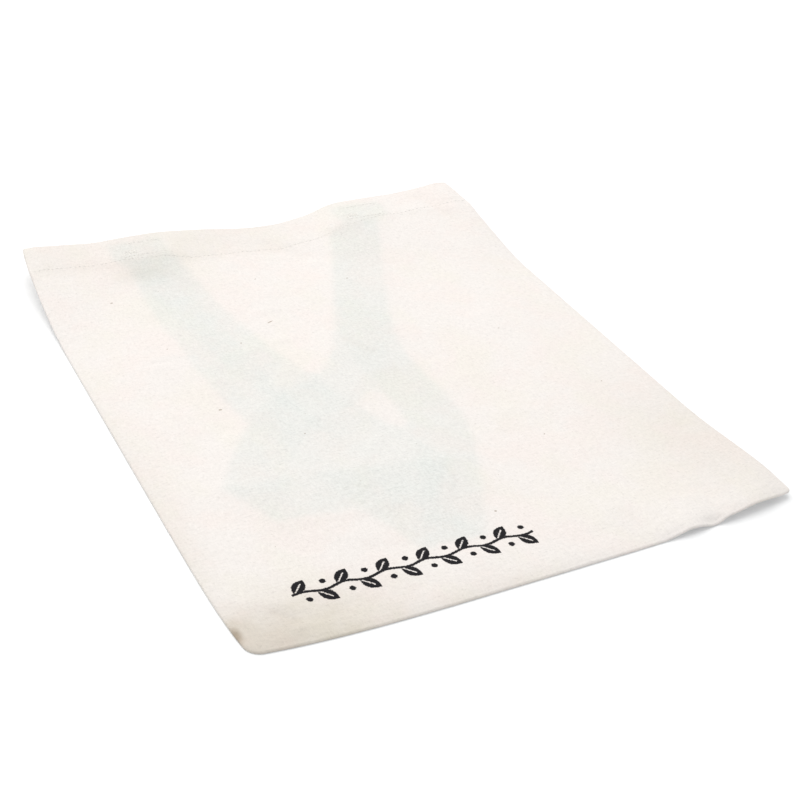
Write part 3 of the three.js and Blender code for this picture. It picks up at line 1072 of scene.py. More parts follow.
def maths(tree, operation, a, b=None, clamp=False):
    """Output of a maths node on numbers or other outputs."""
    node = add(tree, "ShaderNodeMath", operation=operation, use_clamp=clamp)
    for socket, value in zip(node.inputs, (a, b)):
        if value is None:
            continue
        if isinstance(value, (int, float)):
            socket.default_value = value
        else:
            tree.links.new(value, socket)
    return node.outputs[0]


def mixed_colour(tree, share, a, b, blend="MIX"):
    """Output of a colour mix; a share, colour or output stands for each part."""
    node = add(tree, "ShaderNodeMix", data_type="RGBA", blend_type=blend)
    for socket, value in ((node.inputs[0], share), (node.inputs[6], a), (node.inputs[7], b)):
        if isinstance(value, (int, float)):
            socket.default_value = value
        elif isinstance(value, tuple):
            socket.default_value = (*value, 1)
        else:
            tree.links.new(value, socket)
    return node.outputs[2]


def noise(tree, vector, scale, detail=2, roughness=0.5):
    """Output of a noise texture, about 0.5 on average."""
    node = add(tree, "ShaderNodeTexNoise")
    set_values(node, {"Scale": scale, "Detail": detail, "Roughness": roughness})
    tree.links.new(vector, node.inputs["Vector"])
    return node.outputs["Fac"]


def stretched(tree, vector, scale):
    """A vector scaled differently along its axes."""
    node = add(tree, "ShaderNodeMapping")
    set_values(node, {"Scale": scale})
    tree.links.new(vector, node.inputs["Vector"])
    return node.outputs[0]


def ranged(tree, value, low, high, to_low=0.0, to_high=1.0, smooth_step=True):
    """The value moved from one range to another and kept in it."""
    node = add(tree, "ShaderNodeMapRange", interpolation_type="SMOOTHSTEP" if smooth_step else "LINEAR")
    set_values(node, {"From Min": low, "From Max": high, "To Min": to_low, "To Max": to_high})
    tree.links.new(value, node.inputs["Value"])
    return node.outputs[0]


def parts_of(tree, vector):
    """The three parts of a vector."""
    node = add(tree, "ShaderNodeSeparateXYZ")
    tree.links.new(vector, node.inputs[0])
    return node.outputs


def length_of(tree, vector):
    """The length of a vector."""
    node = add(tree, "ShaderNodeVectorMath", operation="LENGTH")
    tree.links.new(vector, node.inputs[0])
    return node.outputs["Value"]


def bumped(tree, height, strength, distance, under=None):
    """A bump on the surface, or on another bump under it."""
    node = add(tree, "ShaderNodeBump")
    set_values(node, {"Strength": strength, "Distance": distance})
    tree.links.new(height, node.inputs["Height"])
    if under is not None:
        tree.links.new(under, node.inputs["Normal"])
    return node.outputs[0]


def grouped(tree, group, cloth):
    """A group placed in a material, reading the flat cloth."""
    node = add(tree, "ShaderNodeGroup", node_tree=group)
    tree.links.new(cloth, node.inputs["Cloth"])
    return node.outputs


def new_material(name):
    """A material, its tree and its shader."""
    material = bpy.data.materials.new(name)
    material.use_nodes = True
    tree = material.node_tree
    return material, tree, tree.nodes["Principled BSDF"]


# Cloth materials

def weave_group():
    """Plain weave: over and under of the threads, with thick and thin places along them."""
    tree, given, result = node_group(
        "plain_weave",
        [("Cloth", "NodeSocketVector", None), ("Threads per metre", "NodeSocketFloat", THREADS_PER_METRE)],
        [("Height", "NodeSocketFloat"), ("Slub", "NodeSocketFloat"), ("Pits", "NodeSocketFloat")],
    )
    cloth = given.outputs["Cloth"]
    x, y, _ = parts_of(tree, cloth)
    waver = ranged(tree, noise(tree, cloth, 160), 0, 1, -WAVER_METRES, WAVER_METRES, smooth_step=False)
    turn = maths(tree, "MULTIPLY", given.outputs["Threads per metre"], math.pi)
    wave_x, wave_y = (
        maths(tree, "SINE", maths(tree, "MULTIPLY", maths(tree, "ADD", part, waver), turn)) for part in (x, y)
    )
    crossing = maths(tree, "MULTIPLY", wave_x, wave_y)
    slub_across = noise(tree, stretched(tree, cloth, (0.38, 1.15, 1)), 820, detail=3, roughness=0.7)
    slub_along = noise(tree, stretched(tree, cloth, (1.15, 0.38, 1)), 820, detail=3, roughness=0.7)
    slub = maths(tree, "ADD", slub_across, slub_along)
    low_places = noise(tree, stretched(tree, cloth, (0.6, 1.2, 1)), 620, roughness=0.7)
    pits = ranged(tree, low_places, 0.30, 0.43, 1.0, 0.0)
    lumps = maths(tree, "MULTIPLY", slub, 1.6)
    height = maths(tree, "ADD", maths(tree, "MULTIPLY", crossing, 0.35), lumps)
    tones = maths(tree, "ADD", maths(tree, "MULTIPLY", slub, 0.5), maths(tree, "MULTIPLY", crossing, 0.05))
    tree.links.new(height, result.inputs["Height"])
    tree.links.new(tones, result.inputs["Slub"])
    tree.links.new(pits, result.inputs["Pits"])
    return tree


def fleck_group():
    """Bits of seed husk caught in unbleached yarn."""
    tree, given, result = node_group(
        "seed_flecks",
        [("Cloth", "NodeSocketVector", None), ("Per metre", "NodeSocketFloat", 70.0),
         ("Size", "NodeSocketFloat", 0.022), ("Share", "NodeSocketFloat", 0.5)],
        [("Mask", "NodeSocketFloat")],
    )
    cells = add(tree, "ShaderNodeTexVoronoi", voronoi_dimensions="2D")
    tree.links.new(stretched(tree, given.outputs["Cloth"], (1, 1.5, 1)), cells.inputs["Vector"])
    tree.links.new(given.outputs["Per metre"], cells.inputs["Scale"])
    shade = add(tree, "ShaderNodeSeparateColor")
    tree.links.new(cells.outputs["Color"], shade.inputs[0])
    size = maths(tree, "MULTIPLY", given.outputs["Size"], maths(tree, "POWER", shade.outputs[1], 2.0))
    near = maths(tree, "LESS_THAN", cells.outputs["Distance"], size)
    chosen = maths(tree, "LESS_THAN", shade.outputs[0], given.outputs["Share"])
    strength = maths(tree, "MULTIPLY", near, chosen)
    tree.links.new(maths(tree, "MULTIPLY", strength, shade.outputs[2]), result.inputs["Mask"])
    return tree


def large_fleck_group():
    """Single larger bits in the front cloth."""
    tree, given, result = node_group(
        "large_flecks", [("Cloth", "NodeSocketVector", None)], [("Mask", "NodeSocketFloat")],
    )
    cloth = given.outputs["Cloth"]
    ragged = ranged(tree, noise(tree, cloth, 1500), 0.2, 0.8, -0.35, 0.35, smooth_step=False)
    mask = 0.0
    for x, y, length, width, turn in LARGE_FLECKS:
        local = add(tree, "ShaderNodeMapping", vector_type="TEXTURE")
        set_values(local, {
            "Location": (x * MM, y * MM, 0),
            "Rotation": (0, 0, math.radians(turn)),
            "Scale": (length / 2 * MM, width / 2 * MM, 1),
        })
        tree.links.new(cloth, local.inputs["Vector"])
        reach = length_of(tree, local.outputs[0])
        spot = ranged(tree, maths(tree, "ADD", reach, ragged), 0.75, 1.1, 1.0, 0.0)
        mask = maths(tree, "MAXIMUM", spot, mask)
    tree.links.new(mask, result.inputs["Mask"])
    return tree


def cotton_colour(tree, place, colour):
    """Unbleached cotton, with pinker and greener places."""
    pinkness = ranged(tree, noise(tree, place, 26, detail=4, roughness=0.65), 0.42, 0.62)
    long_places = noise(tree, stretched(tree, place, (1.3, 0.9, 1)), 19, detail=4, roughness=0.65)
    greenness = ranged(tree, long_places, 0.46, 0.66)
    base = mixed_colour(tree, maths(tree, "MULTIPLY", pinkness, PINK_SHARE), colour, PINK_CREAM)
    return mixed_colour(tree, maths(tree, "MULTIPLY", greenness, GREEN_SHARE), base, GREEN_CREAM)


def strap_share(tree, place, strength):
    """How much painted shade the straps below give the cloth, a little unevenly."""
    mask = add(tree, "ShaderNodeAttribute", attribute_name="shade_of_straps").outputs["Fac"]
    uneven = ranged(tree, noise(tree, place, 60, detail=3), 0.3, 0.7, 0.8, 1.1, smooth_step=False)
    return maths(tree, "MULTIPLY", maths(tree, "MULTIPLY", mask, uneven), strength, clamp=True)


def shade_and_soil_colour(tree, place, base):
    """Painted shade, with some soil, in soft patches; brown at the seam's end."""
    darkening = add(tree, "ShaderNodeAttribute", attribute_name="painted_shade_and_soil").outputs["Fac"]
    uneven = noise(tree, place, 75, detail=4, roughness=0.6)
    patchy = ranged(tree, uneven, 0.3, 0.7, 0.75, 1.15, smooth_step=False)
    share = maths(tree, "MULTIPLY", darkening, patchy, clamp=True)
    base = mixed_colour(tree, share, base, SHADE_AND_SOIL, "MULTIPLY")
    return mixed_colour(tree, ranged(tree, darkening, 1.05, 1.9), base, SEAM_END_BROWN, "MULTIPLY")


def weave_tone(tree, threads, contrast):
    """A grey near white that follows light and dark threads, and pits."""
    thread_tone = ranged(tree, threads["Slub"], 0.3, 0.7, -GRAIN, GRAIN, smooth_step=False)
    tone = maths(tree, "ADD", maths(tree, "MULTIPLY", thread_tone, contrast), 1.0)
    tone = maths(tree, "SUBTRACT", tone, maths(tree, "MULTIPLY", threads["Pits"], PIT_DEPTH))
    grey = add(tree, "ShaderNodeCombineColor")
    for k in range(3):
        tree.links.new(tone, grey.inputs[k])
    return grey.outputs[0]


def cloth_material(name, weave, flecks, colour, shown_through=0.0, printed=None, painted_shade_and_soil=False):
    """Plain woven cotton; the straps show through in painted shade; the front also has the print with its
    wear, and painted shade with some soil.
    """
    material, tree, shader = new_material(name)
    cloth = add(tree, "ShaderNodeUVMap", uv_map="flat_cloth").outputs[0]
    place = add(tree, "ShaderNodeTexCoord").outputs["Object"]
    threads = grouped(tree, weave, cloth)
    base = cotton_colour(tree, place, colour)
    contrast = GRAIN_CONTRAST
    if shown_through:
        # painted shade where the straps lie below the cloth
        share = strap_share(tree, place, shown_through)
        base = mixed_colour(tree, share, base, STRAP_SHADE, "MULTIPLY")
        # the weave stands out more over a strap, in its painted shade
        contrast = maths(tree, "ADD", maths(tree, "MULTIPLY", share, STRAP_CONTRAST), GRAIN_CONTRAST)
    # painted shade, with some soil, over the darker places
    if painted_shade_and_soil:
        base = shade_and_soil_colour(tree, place, base)
    base = mixed_colour(tree, 1.0, base, weave_tone(tree, threads, contrast), "MULTIPLY")
    husks = grouped(tree, flecks, cloth)["Mask"]
    base = mixed_colour(tree, maths(tree, "MULTIPLY", husks, HUSK_SHARE), base, HUSK)
    if printed:
        large = grouped(tree, large_fleck_group(), cloth)["Mask"]
        base = mixed_colour(tree, maths(tree, "MULTIPLY", large, LARGE_HUSK_SHARE), base, HUSK)
        ink = grouped(tree, printed, cloth)["Ink"]
        base = mixed_colour(tree, ink, base, INK)
        rough = maths(tree, "SUBTRACT", 0.93, maths(tree, "MULTIPLY", ink, 0.33))
    else:
        rough = ranged(tree, threads["Slub"], 0, 1, 0.97, 0.87, smooth_step=False)
    tree.links.new(base, shader.inputs["Base Color"])
    tree.links.new(rough, shader.inputs["Roughness"])
    set_values(shader, {"Specular IOR Level": 0.08, "Sheen Weight": 0.03, "Sheen Roughness": 0.6})
    # the weave lies on fine cockles of cloth that was washed and folded
    cockles = bumped(tree, noise(tree, cloth, 110, detail=4, roughness=0.6), 0.5, COCKLE_DEPTH_METRES)
    woven = bumped(tree, threads["Height"], 0.55, WEAVE_DEPTH_METRES, cockles)
    tree.links.new(woven, shader.inputs["Normal"])
    return material


def thread_material():
    """Sewing thread, a little lighter than the cloth."""
    material, tree, shader = new_material("sewing_thread")
    place = add(tree, "ShaderNodeTexCoord").outputs["Object"]
    fibre = noise(tree, place, 2500)
    tree.links.new(mixed_colour(tree, fibre, THREAD_CREAM, THREAD_SHADE), shader.inputs["Base Color"])
    tree.links.new(ranged(tree, fibre, 0, 1, 0.6, 0.85, smooth_step=False), shader.inputs["Roughness"])
    tree.links.new(bumped(tree, fibre, 0.4, THREAD_DEPTH_METRES), shader.inputs["Normal"])
    set_values(shader, {"Sheen Weight": 0.1})
    return material


def hole_material():
    """The shade in a needle's hole."""
    material, _, shader = new_material("needle_hole")
    set_values(shader, {"Base Color": (*HOLE_BROWN, 1), "Roughness": 0.9, "Specular IOR Level": 0.1})
    return material


def print_group():
    """A hand-cut block print: a running stem with leaves and berries by turns above and below it."""
    tree, given, result = node_group(
        "block_print", [("Cloth", "NodeSocketVector", None)], [("Ink", "NodeSocketFloat")],
    )
    cloth = given.outputs["Cloth"]

    def op(operation, a, b=None):
        return maths(tree, operation, a, b)

    across_metres, along_metres, _ = parts_of(tree, cloth)
    x = op("SUBTRACT", op("DIVIDE", across_metres, MM), PRINT_LEFT)
    y = op("SUBTRACT", op("DIVIDE", along_metres, MM), PRINT_MIDDLE_Y)
    pitch = (PRINT_RIGHT - PRINT_LEFT) / PRINT_LEAVES
    parity = op("MODULO", op("FLOOR", op("DIVIDE", x, pitch)), 2.0)
    turned_y = op("MULTIPLY", y, op("SUBTRACT", 1.0, op("MULTIPLY", parity, 2.0)))
    local_x = op("SUBTRACT", op("MODULO", x, pitch), pitch / 2)
    # the leaf, with its vein left bare
    leaf_x = op("SUBTRACT", local_x, LEAF_MIDDLE[0])
    leaf_y = op("SUBTRACT", turned_y, LEAF_MIDDLE[1])
    cosine, sine = math.cos(LEAF_TURN), math.sin(LEAF_TURN)
    along = op("ADD", op("MULTIPLY", leaf_x, cosine), op("MULTIPLY", leaf_y, sine))
    across = op("ABSOLUTE", op("SUBTRACT", op("MULTIPLY", leaf_y, cosine), op("MULTIPLY", leaf_x, sine)))
    bow = op("POWER", op("ABSOLUTE", op("DIVIDE", along, LEAF_HALF_LENGTH)), 2.0)
    leaf = op("SUBTRACT", across, op("MULTIPLY", op("SUBTRACT", 1.0, bow), LEAF_HALF_WIDTH))
    vein = op("MAXIMUM", op("SUBTRACT", across, VEIN_HALF_WIDTH), op("SUBTRACT", along, VEIN_END))
    shape = op("MAXIMUM", leaf, op("MULTIPLY", vein, -1.0))
    # the berry on the other side of the stem
    berry_x = op("POWER", op("ABSOLUTE", op("SUBTRACT", local_x, BERRY_MIDDLE[0])), 2.0)
    berry_y = op("POWER", op("ABSOLUTE", op("SUBTRACT", turned_y, BERRY_MIDDLE[1])), 2.0)
    berry = op("SUBTRACT", op("SQRT", op("ADD", berry_x, berry_y)), BERRY_RADIUS)
    # the stem
    wave = op("MULTIPLY", op("SINE", op("MULTIPLY", x, math.pi / pitch)), STEM_WAVE)
    stem = op("SUBTRACT", op("ABSOLUTE", op("SUBTRACT", y, wave)), STEM_HALF_WIDTH)
    shape = op("MINIMUM", op("MINIMUM", shape, berry), stem)
    # ragged edges and worn ink, on the outer face only
    ragged = ranged(tree, noise(tree, cloth, 1300, detail=3), 0.2, 0.8, -0.42, 0.42, smooth_step=False)
    inside = ranged(tree, op("ADD", shape, ragged), -0.2, 0.2, 1.0, 0.0)
    left = op("GREATER_THAN", x, 0.0)
    right = op("LESS_THAN", x, float(PRINT_RIGHT - PRINT_LEFT))
    upward = parts_of(tree, add(tree, "ShaderNodeNewGeometry").outputs["True Normal"])[2]
    upper = op("GREATER_THAN", upward, 0.2)
    worn = ranged(tree, noise(tree, cloth, 900, detail=4, roughness=0.7), 0.22, 0.36, 0.6, 1.0)
    ink = op("MULTIPLY", op("MULTIPLY", inside, left), op("MULTIPLY", right, upper))
    tree.links.new(op("MULTIPLY", ink, worn), result.inputs["Ink"])
    return tree


# Stitches

def stitch_tree():
    """Stitches of thread along rows at an even pitch on the cloth, and the needle's holes between them in
    dark painted shade.
    """
    tree, given, result = node_group(
        "stitch_rows",
        [
            ("Rows", "NodeSocketGeometry", None),
            *((label, "NodeSocketFloat", value) for label, value in PLAIN_STITCHES.items()),
            ("Unevenness", "NodeSocketFloat", UNEVENNESS),
            ("Seed", "NodeSocketInt", 4),
            ("Thread", "NodeSocketMaterial", None),
            ("Hole", "NodeSocketMaterial", None),
        ],
        [("Stitches", "NodeSocketGeometry")],
        "GeometryNodeTree",
    )

    def linked(kind, links, **settings):
        """A new node whose named inputs are linked; its first output."""
        node = add(tree, kind, **settings)
        for socket, source in links.items():
            tree.links.new(source, node.inputs[socket])
        return node.outputs[0]

    # points at an even pitch, each turned along its row and square to the cloth
    curve = linked("GeometryNodeMeshToCurve", {0: given.outputs["Rows"]})
    pitch = given.outputs["Pitch"]
    even = linked("GeometryNodeResampleCurve", {"Curve": curve, "Length": pitch}, mode="LENGTH")
    up = add(tree, "GeometryNodeInputNamedAttribute", data_type="FLOAT_VECTOR")
    set_values(up, {"Name": "cloth_up"})
    tangent = linked("GeometryNodeInputTangent", {})
    along = linked("FunctionNodeAlignRotationToVector", {"Vector": tangent}, axis="X", pivot_axis="AUTO")
    upright = linked(
        "FunctionNodeAlignRotationToVector", {"Rotation": along, "Vector": up.outputs[0]},
        axis="Z", pivot_axis="X",
    )
    # one stitch or hole is a small ball, stretched to size
    ball = add(tree, "GeometryNodeMeshUVSphere")
    set_values(ball, {"Segments": 8, "Rings": 5, "Radius": 0.5})
    width, hole_width = given.outputs["Thread Width"], given.outputs["Hole Width"]
    flat = maths(tree, "MULTIPLY", width, THREAD_FLATNESS)
    stitch_size = linked("ShaderNodeCombineXYZ", {0: given.outputs["Stitch Length"], 1: width, 2: flat})
    hole_size = linked("ShaderNodeCombineXYZ", {0: hole_width, 1: hole_width, 2: flat})
    vary = add(tree, "FunctionNodeRandomValue", data_type="FLOAT")
    tree.links.new(maths(tree, "SUBTRACT", 1.0, given.outputs["Unevenness"]), vary.inputs[2])
    vary.inputs[3].default_value = 1.0
    tree.links.new(given.outputs["Seed"], vary.inputs["Seed"])
    share = vary.outputs[1]
    uneven_size = linked("ShaderNodeVectorMath", {0: stitch_size, "Scale": share}, operation="SCALE")

    def laid(size):
        return linked("GeometryNodeInstanceOnPoints", {
            "Points": even, "Instance": ball.outputs["Mesh"], "Rotation": upright, "Scale": size,
        })

    def painted(instances, material):
        real = linked("GeometryNodeRealizeInstances", {0: instances})
        return linked("GeometryNodeSetMaterial", {"Geometry": real, "Material": given.outputs[material]})

    half_pitch = maths(tree, "MULTIPLY", pitch, 0.5)
    forward = linked("ShaderNodeCombineXYZ", {0: half_pitch})
    holes = linked("GeometryNodeTranslateInstances", {"Instances": laid(hole_size), "Translation": forward})
    joined = add(tree, "GeometryNodeJoinGeometry")
    tree.links.new(painted(holes, "Hole"), joined.inputs[0])
    tree.links.new(painted(laid(uneven_size), "Thread"), joined.inputs[0])
    tree.links.new(joined.outputs[0], result.inputs[0])
    return tree


def stitched(name, rows, tree, thread, hole, sizes=None):
    """One plain mesh of stitches along rows of (points, upward directions)."""
    points, ups, edges = [], [], []
    for row, up in rows:
        first = len(points)
        points.extend((np.asarray(row) * MM).tolist())
        ups.extend(np.asarray(up).tolist())
        edges.extend((first + i, first + i + 1) for i in range(len(row) - 1))
    mesh = bpy.data.meshes.new(name + "_rows")
    mesh.from_pydata(points, edges, [])
    mesh.attributes.new("cloth_up", "FLOAT_VECTOR", "POINT").data.foreach_set("vector", np.ravel(ups))
    rows_object = bpy.data.objects.new(name + "_rows", mesh)
    bpy.context.scene.collection.objects.link(rows_object)
    modifier = rows_object.modifiers.new("stitches", "NODES")
    modifier.node_group = tree
    sockets = {item.name: item.identifier for item in tree.interface.items_tree if item.in_out == "INPUT"}
    for label, value in {"Thread": thread, "Hole": hole, **(sizes or {})}.items():
        modifier[sockets[label]] = value
    evaluated = rows_object.evaluated_get(bpy.context.evaluated_depsgraph_get())
    plain = bpy.data.meshes.new_from_object(evaluated)
    plain.name = name
    piece = bpy.data.objects.new(name, plain)
    bpy.data.objects.remove(rows_object)
    bpy.context.scene.collection.objects.link(piece)
    plain.polygons.foreach_set("use_smooth", [True] * len(plain.polygons))
    return piece


# Pieces

SIDES = ((-1, "left"), (1, "right"))


def split_blend(piece):
    """Bakes the piece's placement into its mesh."""
    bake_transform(piece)


def columns_on(side):
    """The grid's columns on one side, with the middle one."""
    return ACROSS * side >= 0


def make_front_cloths(sheet, fields, material):
    """The front in two halves, because a piece can follow the opening mouth from one side only."""
    for side, word in SIDES:
        part = columns_on(side)
        piece = cloth_layer(
            f"front_cloth_{word}", sheet.points[:, part], FLAT_UV[:, part], material,
            fields={key: values[:, part] for key, values in fields.items()},
            normals=sheet.normals[:, part],
        )
        split_blend(piece)
        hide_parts("front_panel")


def make_back_cloth(sheet, fields, material):
    """The back, which lies still."""
    # every second row is enough away from the rolled bottom edge
    first, last = EDGE_ROWS - 1, len(ALONG) - 1
    rows = np.r_[0:first, first:last:2, last]
    piece = cloth_layer(
        "back_cloth", sheet.points[rows], FLAT_UV[rows], material,
        fields={key: values[rows] for key, values in fields.items()}, normals=sheet.normals[rows],
    )
    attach(piece, "back")
    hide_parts("back_panel")


def hem_grid(sheet, inward):
    """The cloth folded over the mouth edge and turned in: a fold, then a band."""
    edge, edge_normal = sheet.points[-1], sheet.normals[-1] * inward
    depth = HEM_DEPTH + (hem_line(ACROSS) if inward < 0 else np.zeros_like(ACROSS))
    grid, along = [], []
    for angle in np.linspace(0, math.pi, HEM_FOLD_ROWS):
        outwards = np.array([0, FOLD_RADIUS * math.sin(angle), 0])
        grid.append(edge + outwards + edge_normal * FOLD_RADIUS * (1 - math.cos(angle)))
        along.append(MOUTH_Y + FOLD_RADIUS * angle)
    for share in np.linspace(0, 1, HEM_BAND_ROWS)[1:]:
        points, normals = sheet.at(ACROSS, MOUTH_Y - depth * share)
        grid.append(points - normals * CLOTH / 2 + normals * inward * 2 * FOLD_RADIUS)
        along.append(MOUTH_Y + FOLD_RADIUS * math.pi + HEM_DEPTH * share)
    return np.array(grid), np.dstack(np.meshgrid(ACROSS, along))


def hem_piece(name, node, grid, uv, part, material, side=0):
    """A turned-in hem: half of the front's, or the whole of the back's."""
    piece = cloth_layer(name, grid[:, part], uv[:, part], material, normals=grid_normals(grid)[:, part])
    if side:
        split_blend(piece)
    else:
        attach(piece, "back")
    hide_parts(node)


def make_hems(front, back, material):
    """The turned-in cloth of both hems, between the rolled edges."""
    within = np.abs(ACROSS) <= INNER_HALF_WIDTH - HEM_SIDE_GAP
    grid, uv = hem_grid(front, -1)
    for side, word in SIDES:
        part = within & columns_on(side)
        hem_piece(f"front_hem_cloth_{word}", "front_hem", grid, uv, part, material, side)
    grid, uv = hem_grid(back, 1)
    hem_piece("back_hem_cloth", "back_hem", grid, uv, within, material)


def strap_rings(sections):
    """Rings of points round a thin-edged strap, their places on the flat strap, and the length along it."""
    middles, halves, normals, _ = sections
    across = np.linspace(-1, 1, 13)
    rise = (STRAP_THICKNESS / 2 - STRAP_FACE_SINK) * (1 - STRAP_EDGE_THINNING * np.abs(across) ** 6)
    upper = np.column_stack([across * STRAP_FACE_WIDTH, rise])
    ring = np.vstack([upper, (1, 0), upper[::-1] * (1, -1), (-1, 0)])
    points = middles[:, None] + halves[:, None] * ring[None, :, :1] + normals[:, None] * ring[None, :, 1:]
    along = np.concatenate([[0], np.cumsum(np.linalg.norm(np.diff(middles, axis=0), axis=1))])
    flat_across = np.broadcast_to(ring[:, 0] * STRAP_WIDTH / 2, points.shape[:2])
    flat_along = np.broadcast_to(along[:, None], points.shape[:2])
    return points, np.dstack([flat_across, flat_along]), along


def closed_tube(points):
    """Faces of a tube of rings with both ends closed."""
    count, around = points.shape[:2]
    index = np.arange(count * around).reshape(count, around)
    following = np.roll(index, -1, axis=1)
    faces = np.dstack([index[:-1], following[:-1], following[1:], index[1:]]).reshape(-1, 4).tolist()
    faces.append(index[0, ::-1].tolist())
    faces.append(index[-1].tolist())
    return faces


def recalculated(piece):
    """Turns all faces of a closed mesh outwards."""
    mesh = bmesh.new()
    mesh.from_mesh(piece.data)
    bmesh.ops.recalc_face_normals(mesh, faces=mesh.faces)
    mesh.to_mesh(piece.data)
    mesh.free()


def cut_at_middle(piece, side):
    """Keeps one side of x = 0 of a closed mesh and closes the cut."""
    mesh = bmesh.new()
    mesh.from_mesh(piece.data)
    result = bmesh.ops.bisect_plane(
        mesh, geom=[*mesh.verts, *mesh.edges, *mesh.faces], plane_co=(0, 0, 0), plane_no=(-side, 0, 0),
        clear_outer=True,
    )
    rim = [e for e in result["geom_cut"] if isinstance(e, bmesh.types.BMEdge)]
    bmesh.ops.holes_fill(mesh, edges=rim, sides=0)
    mesh.to_mesh(piece.data)
    mesh.free()


def strap_piece(name, points, uv, material):
    """A strap as a closed tube of rings."""
    piece = new_piece(name, points.reshape(-1, 3), closed_tube(points), uv.reshape(-1, 2), material)
    recalculated(piece)
    return piece


def make_handles(front_sections, back_sections, material):
    """The back's strap in one piece, and the front's cut at the middle like the front itself."""
    points, uv, along = strap_rings(back_sections)
    piece = strap_piece("back_handle_strap", points, uv, material)
    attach(piece, "back")
    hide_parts("back_handle")
    points, uv, along = strap_rings(front_sections)
    for side, word in SIDES:
        piece = strap_piece(f"front_handle_strap_{word}", points, uv, material)
        cut_at_middle(piece, side)
        split_blend(piece)
        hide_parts("front_handle")


def seam_edges(name, node, back, x, y, material):
    """Turned-in seam edges that lie on the back cloth."""
    points, _ = back.at(x.ravel(), y.ravel(), out=OVER_BACK + SEAM_THICKNESS / 2)
    piece = cloth_layer(name, points.reshape(*x.shape, 3), np.dstack([x, y]), material, SEAM_THICKNESS)
    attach(piece, "back")
    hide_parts(node)


def make_seams(back, material):
    """The seam edges along both sides and the bottom."""
    inset = np.linspace(SEAM_START, SEAM_END, SEAM_COLUMNS)
    rows = np.linspace(BOTTOM_Y + SEAM_END_GAP, HEM_EDGE_Y - SEAM_HEM_GAP, SIDE_SEAM_ROWS)
    for side, word in SIDES:
        x, y = np.meshgrid(np.sort(side * (INNER_HALF_WIDTH - inset)), rows)
        seam_edges(f"{word}_side_seam_edges", f"{word}_side_seam", back, x, y, material)
    reach = INNER_HALF_WIDTH - SEAM_END_GAP
    x, y = np.meshgrid(np.linspace(-reach, reach, BOTTOM_SEAM_ROWS), BOTTOM_Y + EDGE_START + inset)
    seam_edges("bottom_seam_edges", "bottom_seam", back, x, y, material)


def stitch_rows_on(sheet, lines, face, out=STITCH_OUT):
    """Rows of points close together on one face of a cloth, along lines on the flat cut."""
    rows = []
    for line in lines:
        line = np.array(line, float)
        length = np.linalg.norm(np.diff(line, axis=0), axis=1)
        along = np.concatenate([[0], np.cumsum(length)])
        between = np.linspace(0, along[-1], max(3, round(along[-1] / STITCH_ROW_STEP)))
        places = np.unique(np.concatenate([along, between]).round(4))
        x = np.interp(places, along, line[:, 0])
        y = np.interp(places, along, line[:, 1])
        rows.append(sheet.at(x, y, side=face, out=out))
    return rows


def box_line(x):
    """The box of stitches that holds a handle's end."""
    left, right = x - BOX_HALF_WIDTH, x + BOX_HALF_WIDTH
    corners = [(left, BOX_LOW_Y), (right, BOX_LOW_Y), (right, BOX_HIGH_Y), (left, BOX_HIGH_Y)]
    return [*corners, corners[0]]


def tack_line(x):
    """A bar of dense zigzag near one corner of the box."""
    start = x + TACK_START
    return [(start + TACK_STEP * k, TACK_Y + TACK_REACH * (1 if k % 2 else -1)) for k in range(10)]


def make_stitches(front, back, tree, thread, hole):
    """Hem stitching and boxes on both faces of the bag, and bars on the front."""
    places = np.linspace(STITCH_MIDDLE_GAP, HALF_WIDTH - STITCH_SIDE_GAP, 90)
    for side, word in SIDES:
        hem_stitches = np.column_stack([side * places, HEM_STITCHES_Y - hem_line(side * places)])
        rows = stitch_rows_on(front, [hem_stitches, box_line(side * STRAP_X)], 1)
        split_blend(stitched(f"front_stitching_{word}", rows, tree, thread, hole))
        rows = stitch_rows_on(front, [tack_line(side * STRAP_X)], 1, TACK_OUT)
        split_blend(stitched(f"front_tack_{word}", rows, tree, thread, hole, TACK_STITCHES))
    hem_stitches = [(side * (HALF_WIDTH - STITCH_SIDE_GAP), HEM_STITCHES_Y) for side, _ in SIDES]
    rows = stitch_rows_on(back, [hem_stitches, box_line(-STRAP_X), box_line(STRAP_X)], -1, BACK_STITCH_OUT)
    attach(stitched("back_stitching", rows, tree, thread, hole), "back")


# Stage, light and camera

def seen_directly(tree):
    """1 for what the camera sees, also in gloss or through glass."""
    rays = add(tree, "ShaderNodeLightPath").outputs
    others = maths(tree, "MAXIMUM", rays["Is Glossy Ray"], rays["Is Transmission Ray"])
    return maths(tree, "MAXIMUM", rays["Is Camera Ray"], others)


def floor_material():
    """A pale floor that keeps shadows and is as white as the air far from the bag."""
    material = bpy.data.materials.new("white_floor")
    material.use_nodes = True
    tree = material.node_tree
    tree.nodes.clear()
    diffuse = add(tree, "ShaderNodeBsdfDiffuse")
    set_values(diffuse, {"Color": (FLOOR_GREY, FLOOR_GREY, FLOOR_GREY, 1)})
    glow = add(tree, "ShaderNodeEmission")
    set_values(glow, {"Color": (*FLOOR_GLOW_COLOUR, 1)})
    away = length_of(tree, add(tree, "ShaderNodeTexCoord").outputs["Object"])
    far = ranged(tree, away, *FLOOR_FADE_METRES, FLOOR_GLOW, 1.0, smooth_step=False)
    tree.links.new(maths(tree, "MULTIPLY", seen_directly(tree), far), glow.inputs["Strength"])
    both = add(tree, "ShaderNodeAddShader")
    tree.links.new(diffuse.outputs[0], both.inputs[0])
    tree.links.new(glow.outputs[0], both.inputs[1])
    tree.links.new(both.outputs[0], add(tree, "ShaderNodeOutputMaterial").inputs["Surface"])
    return material


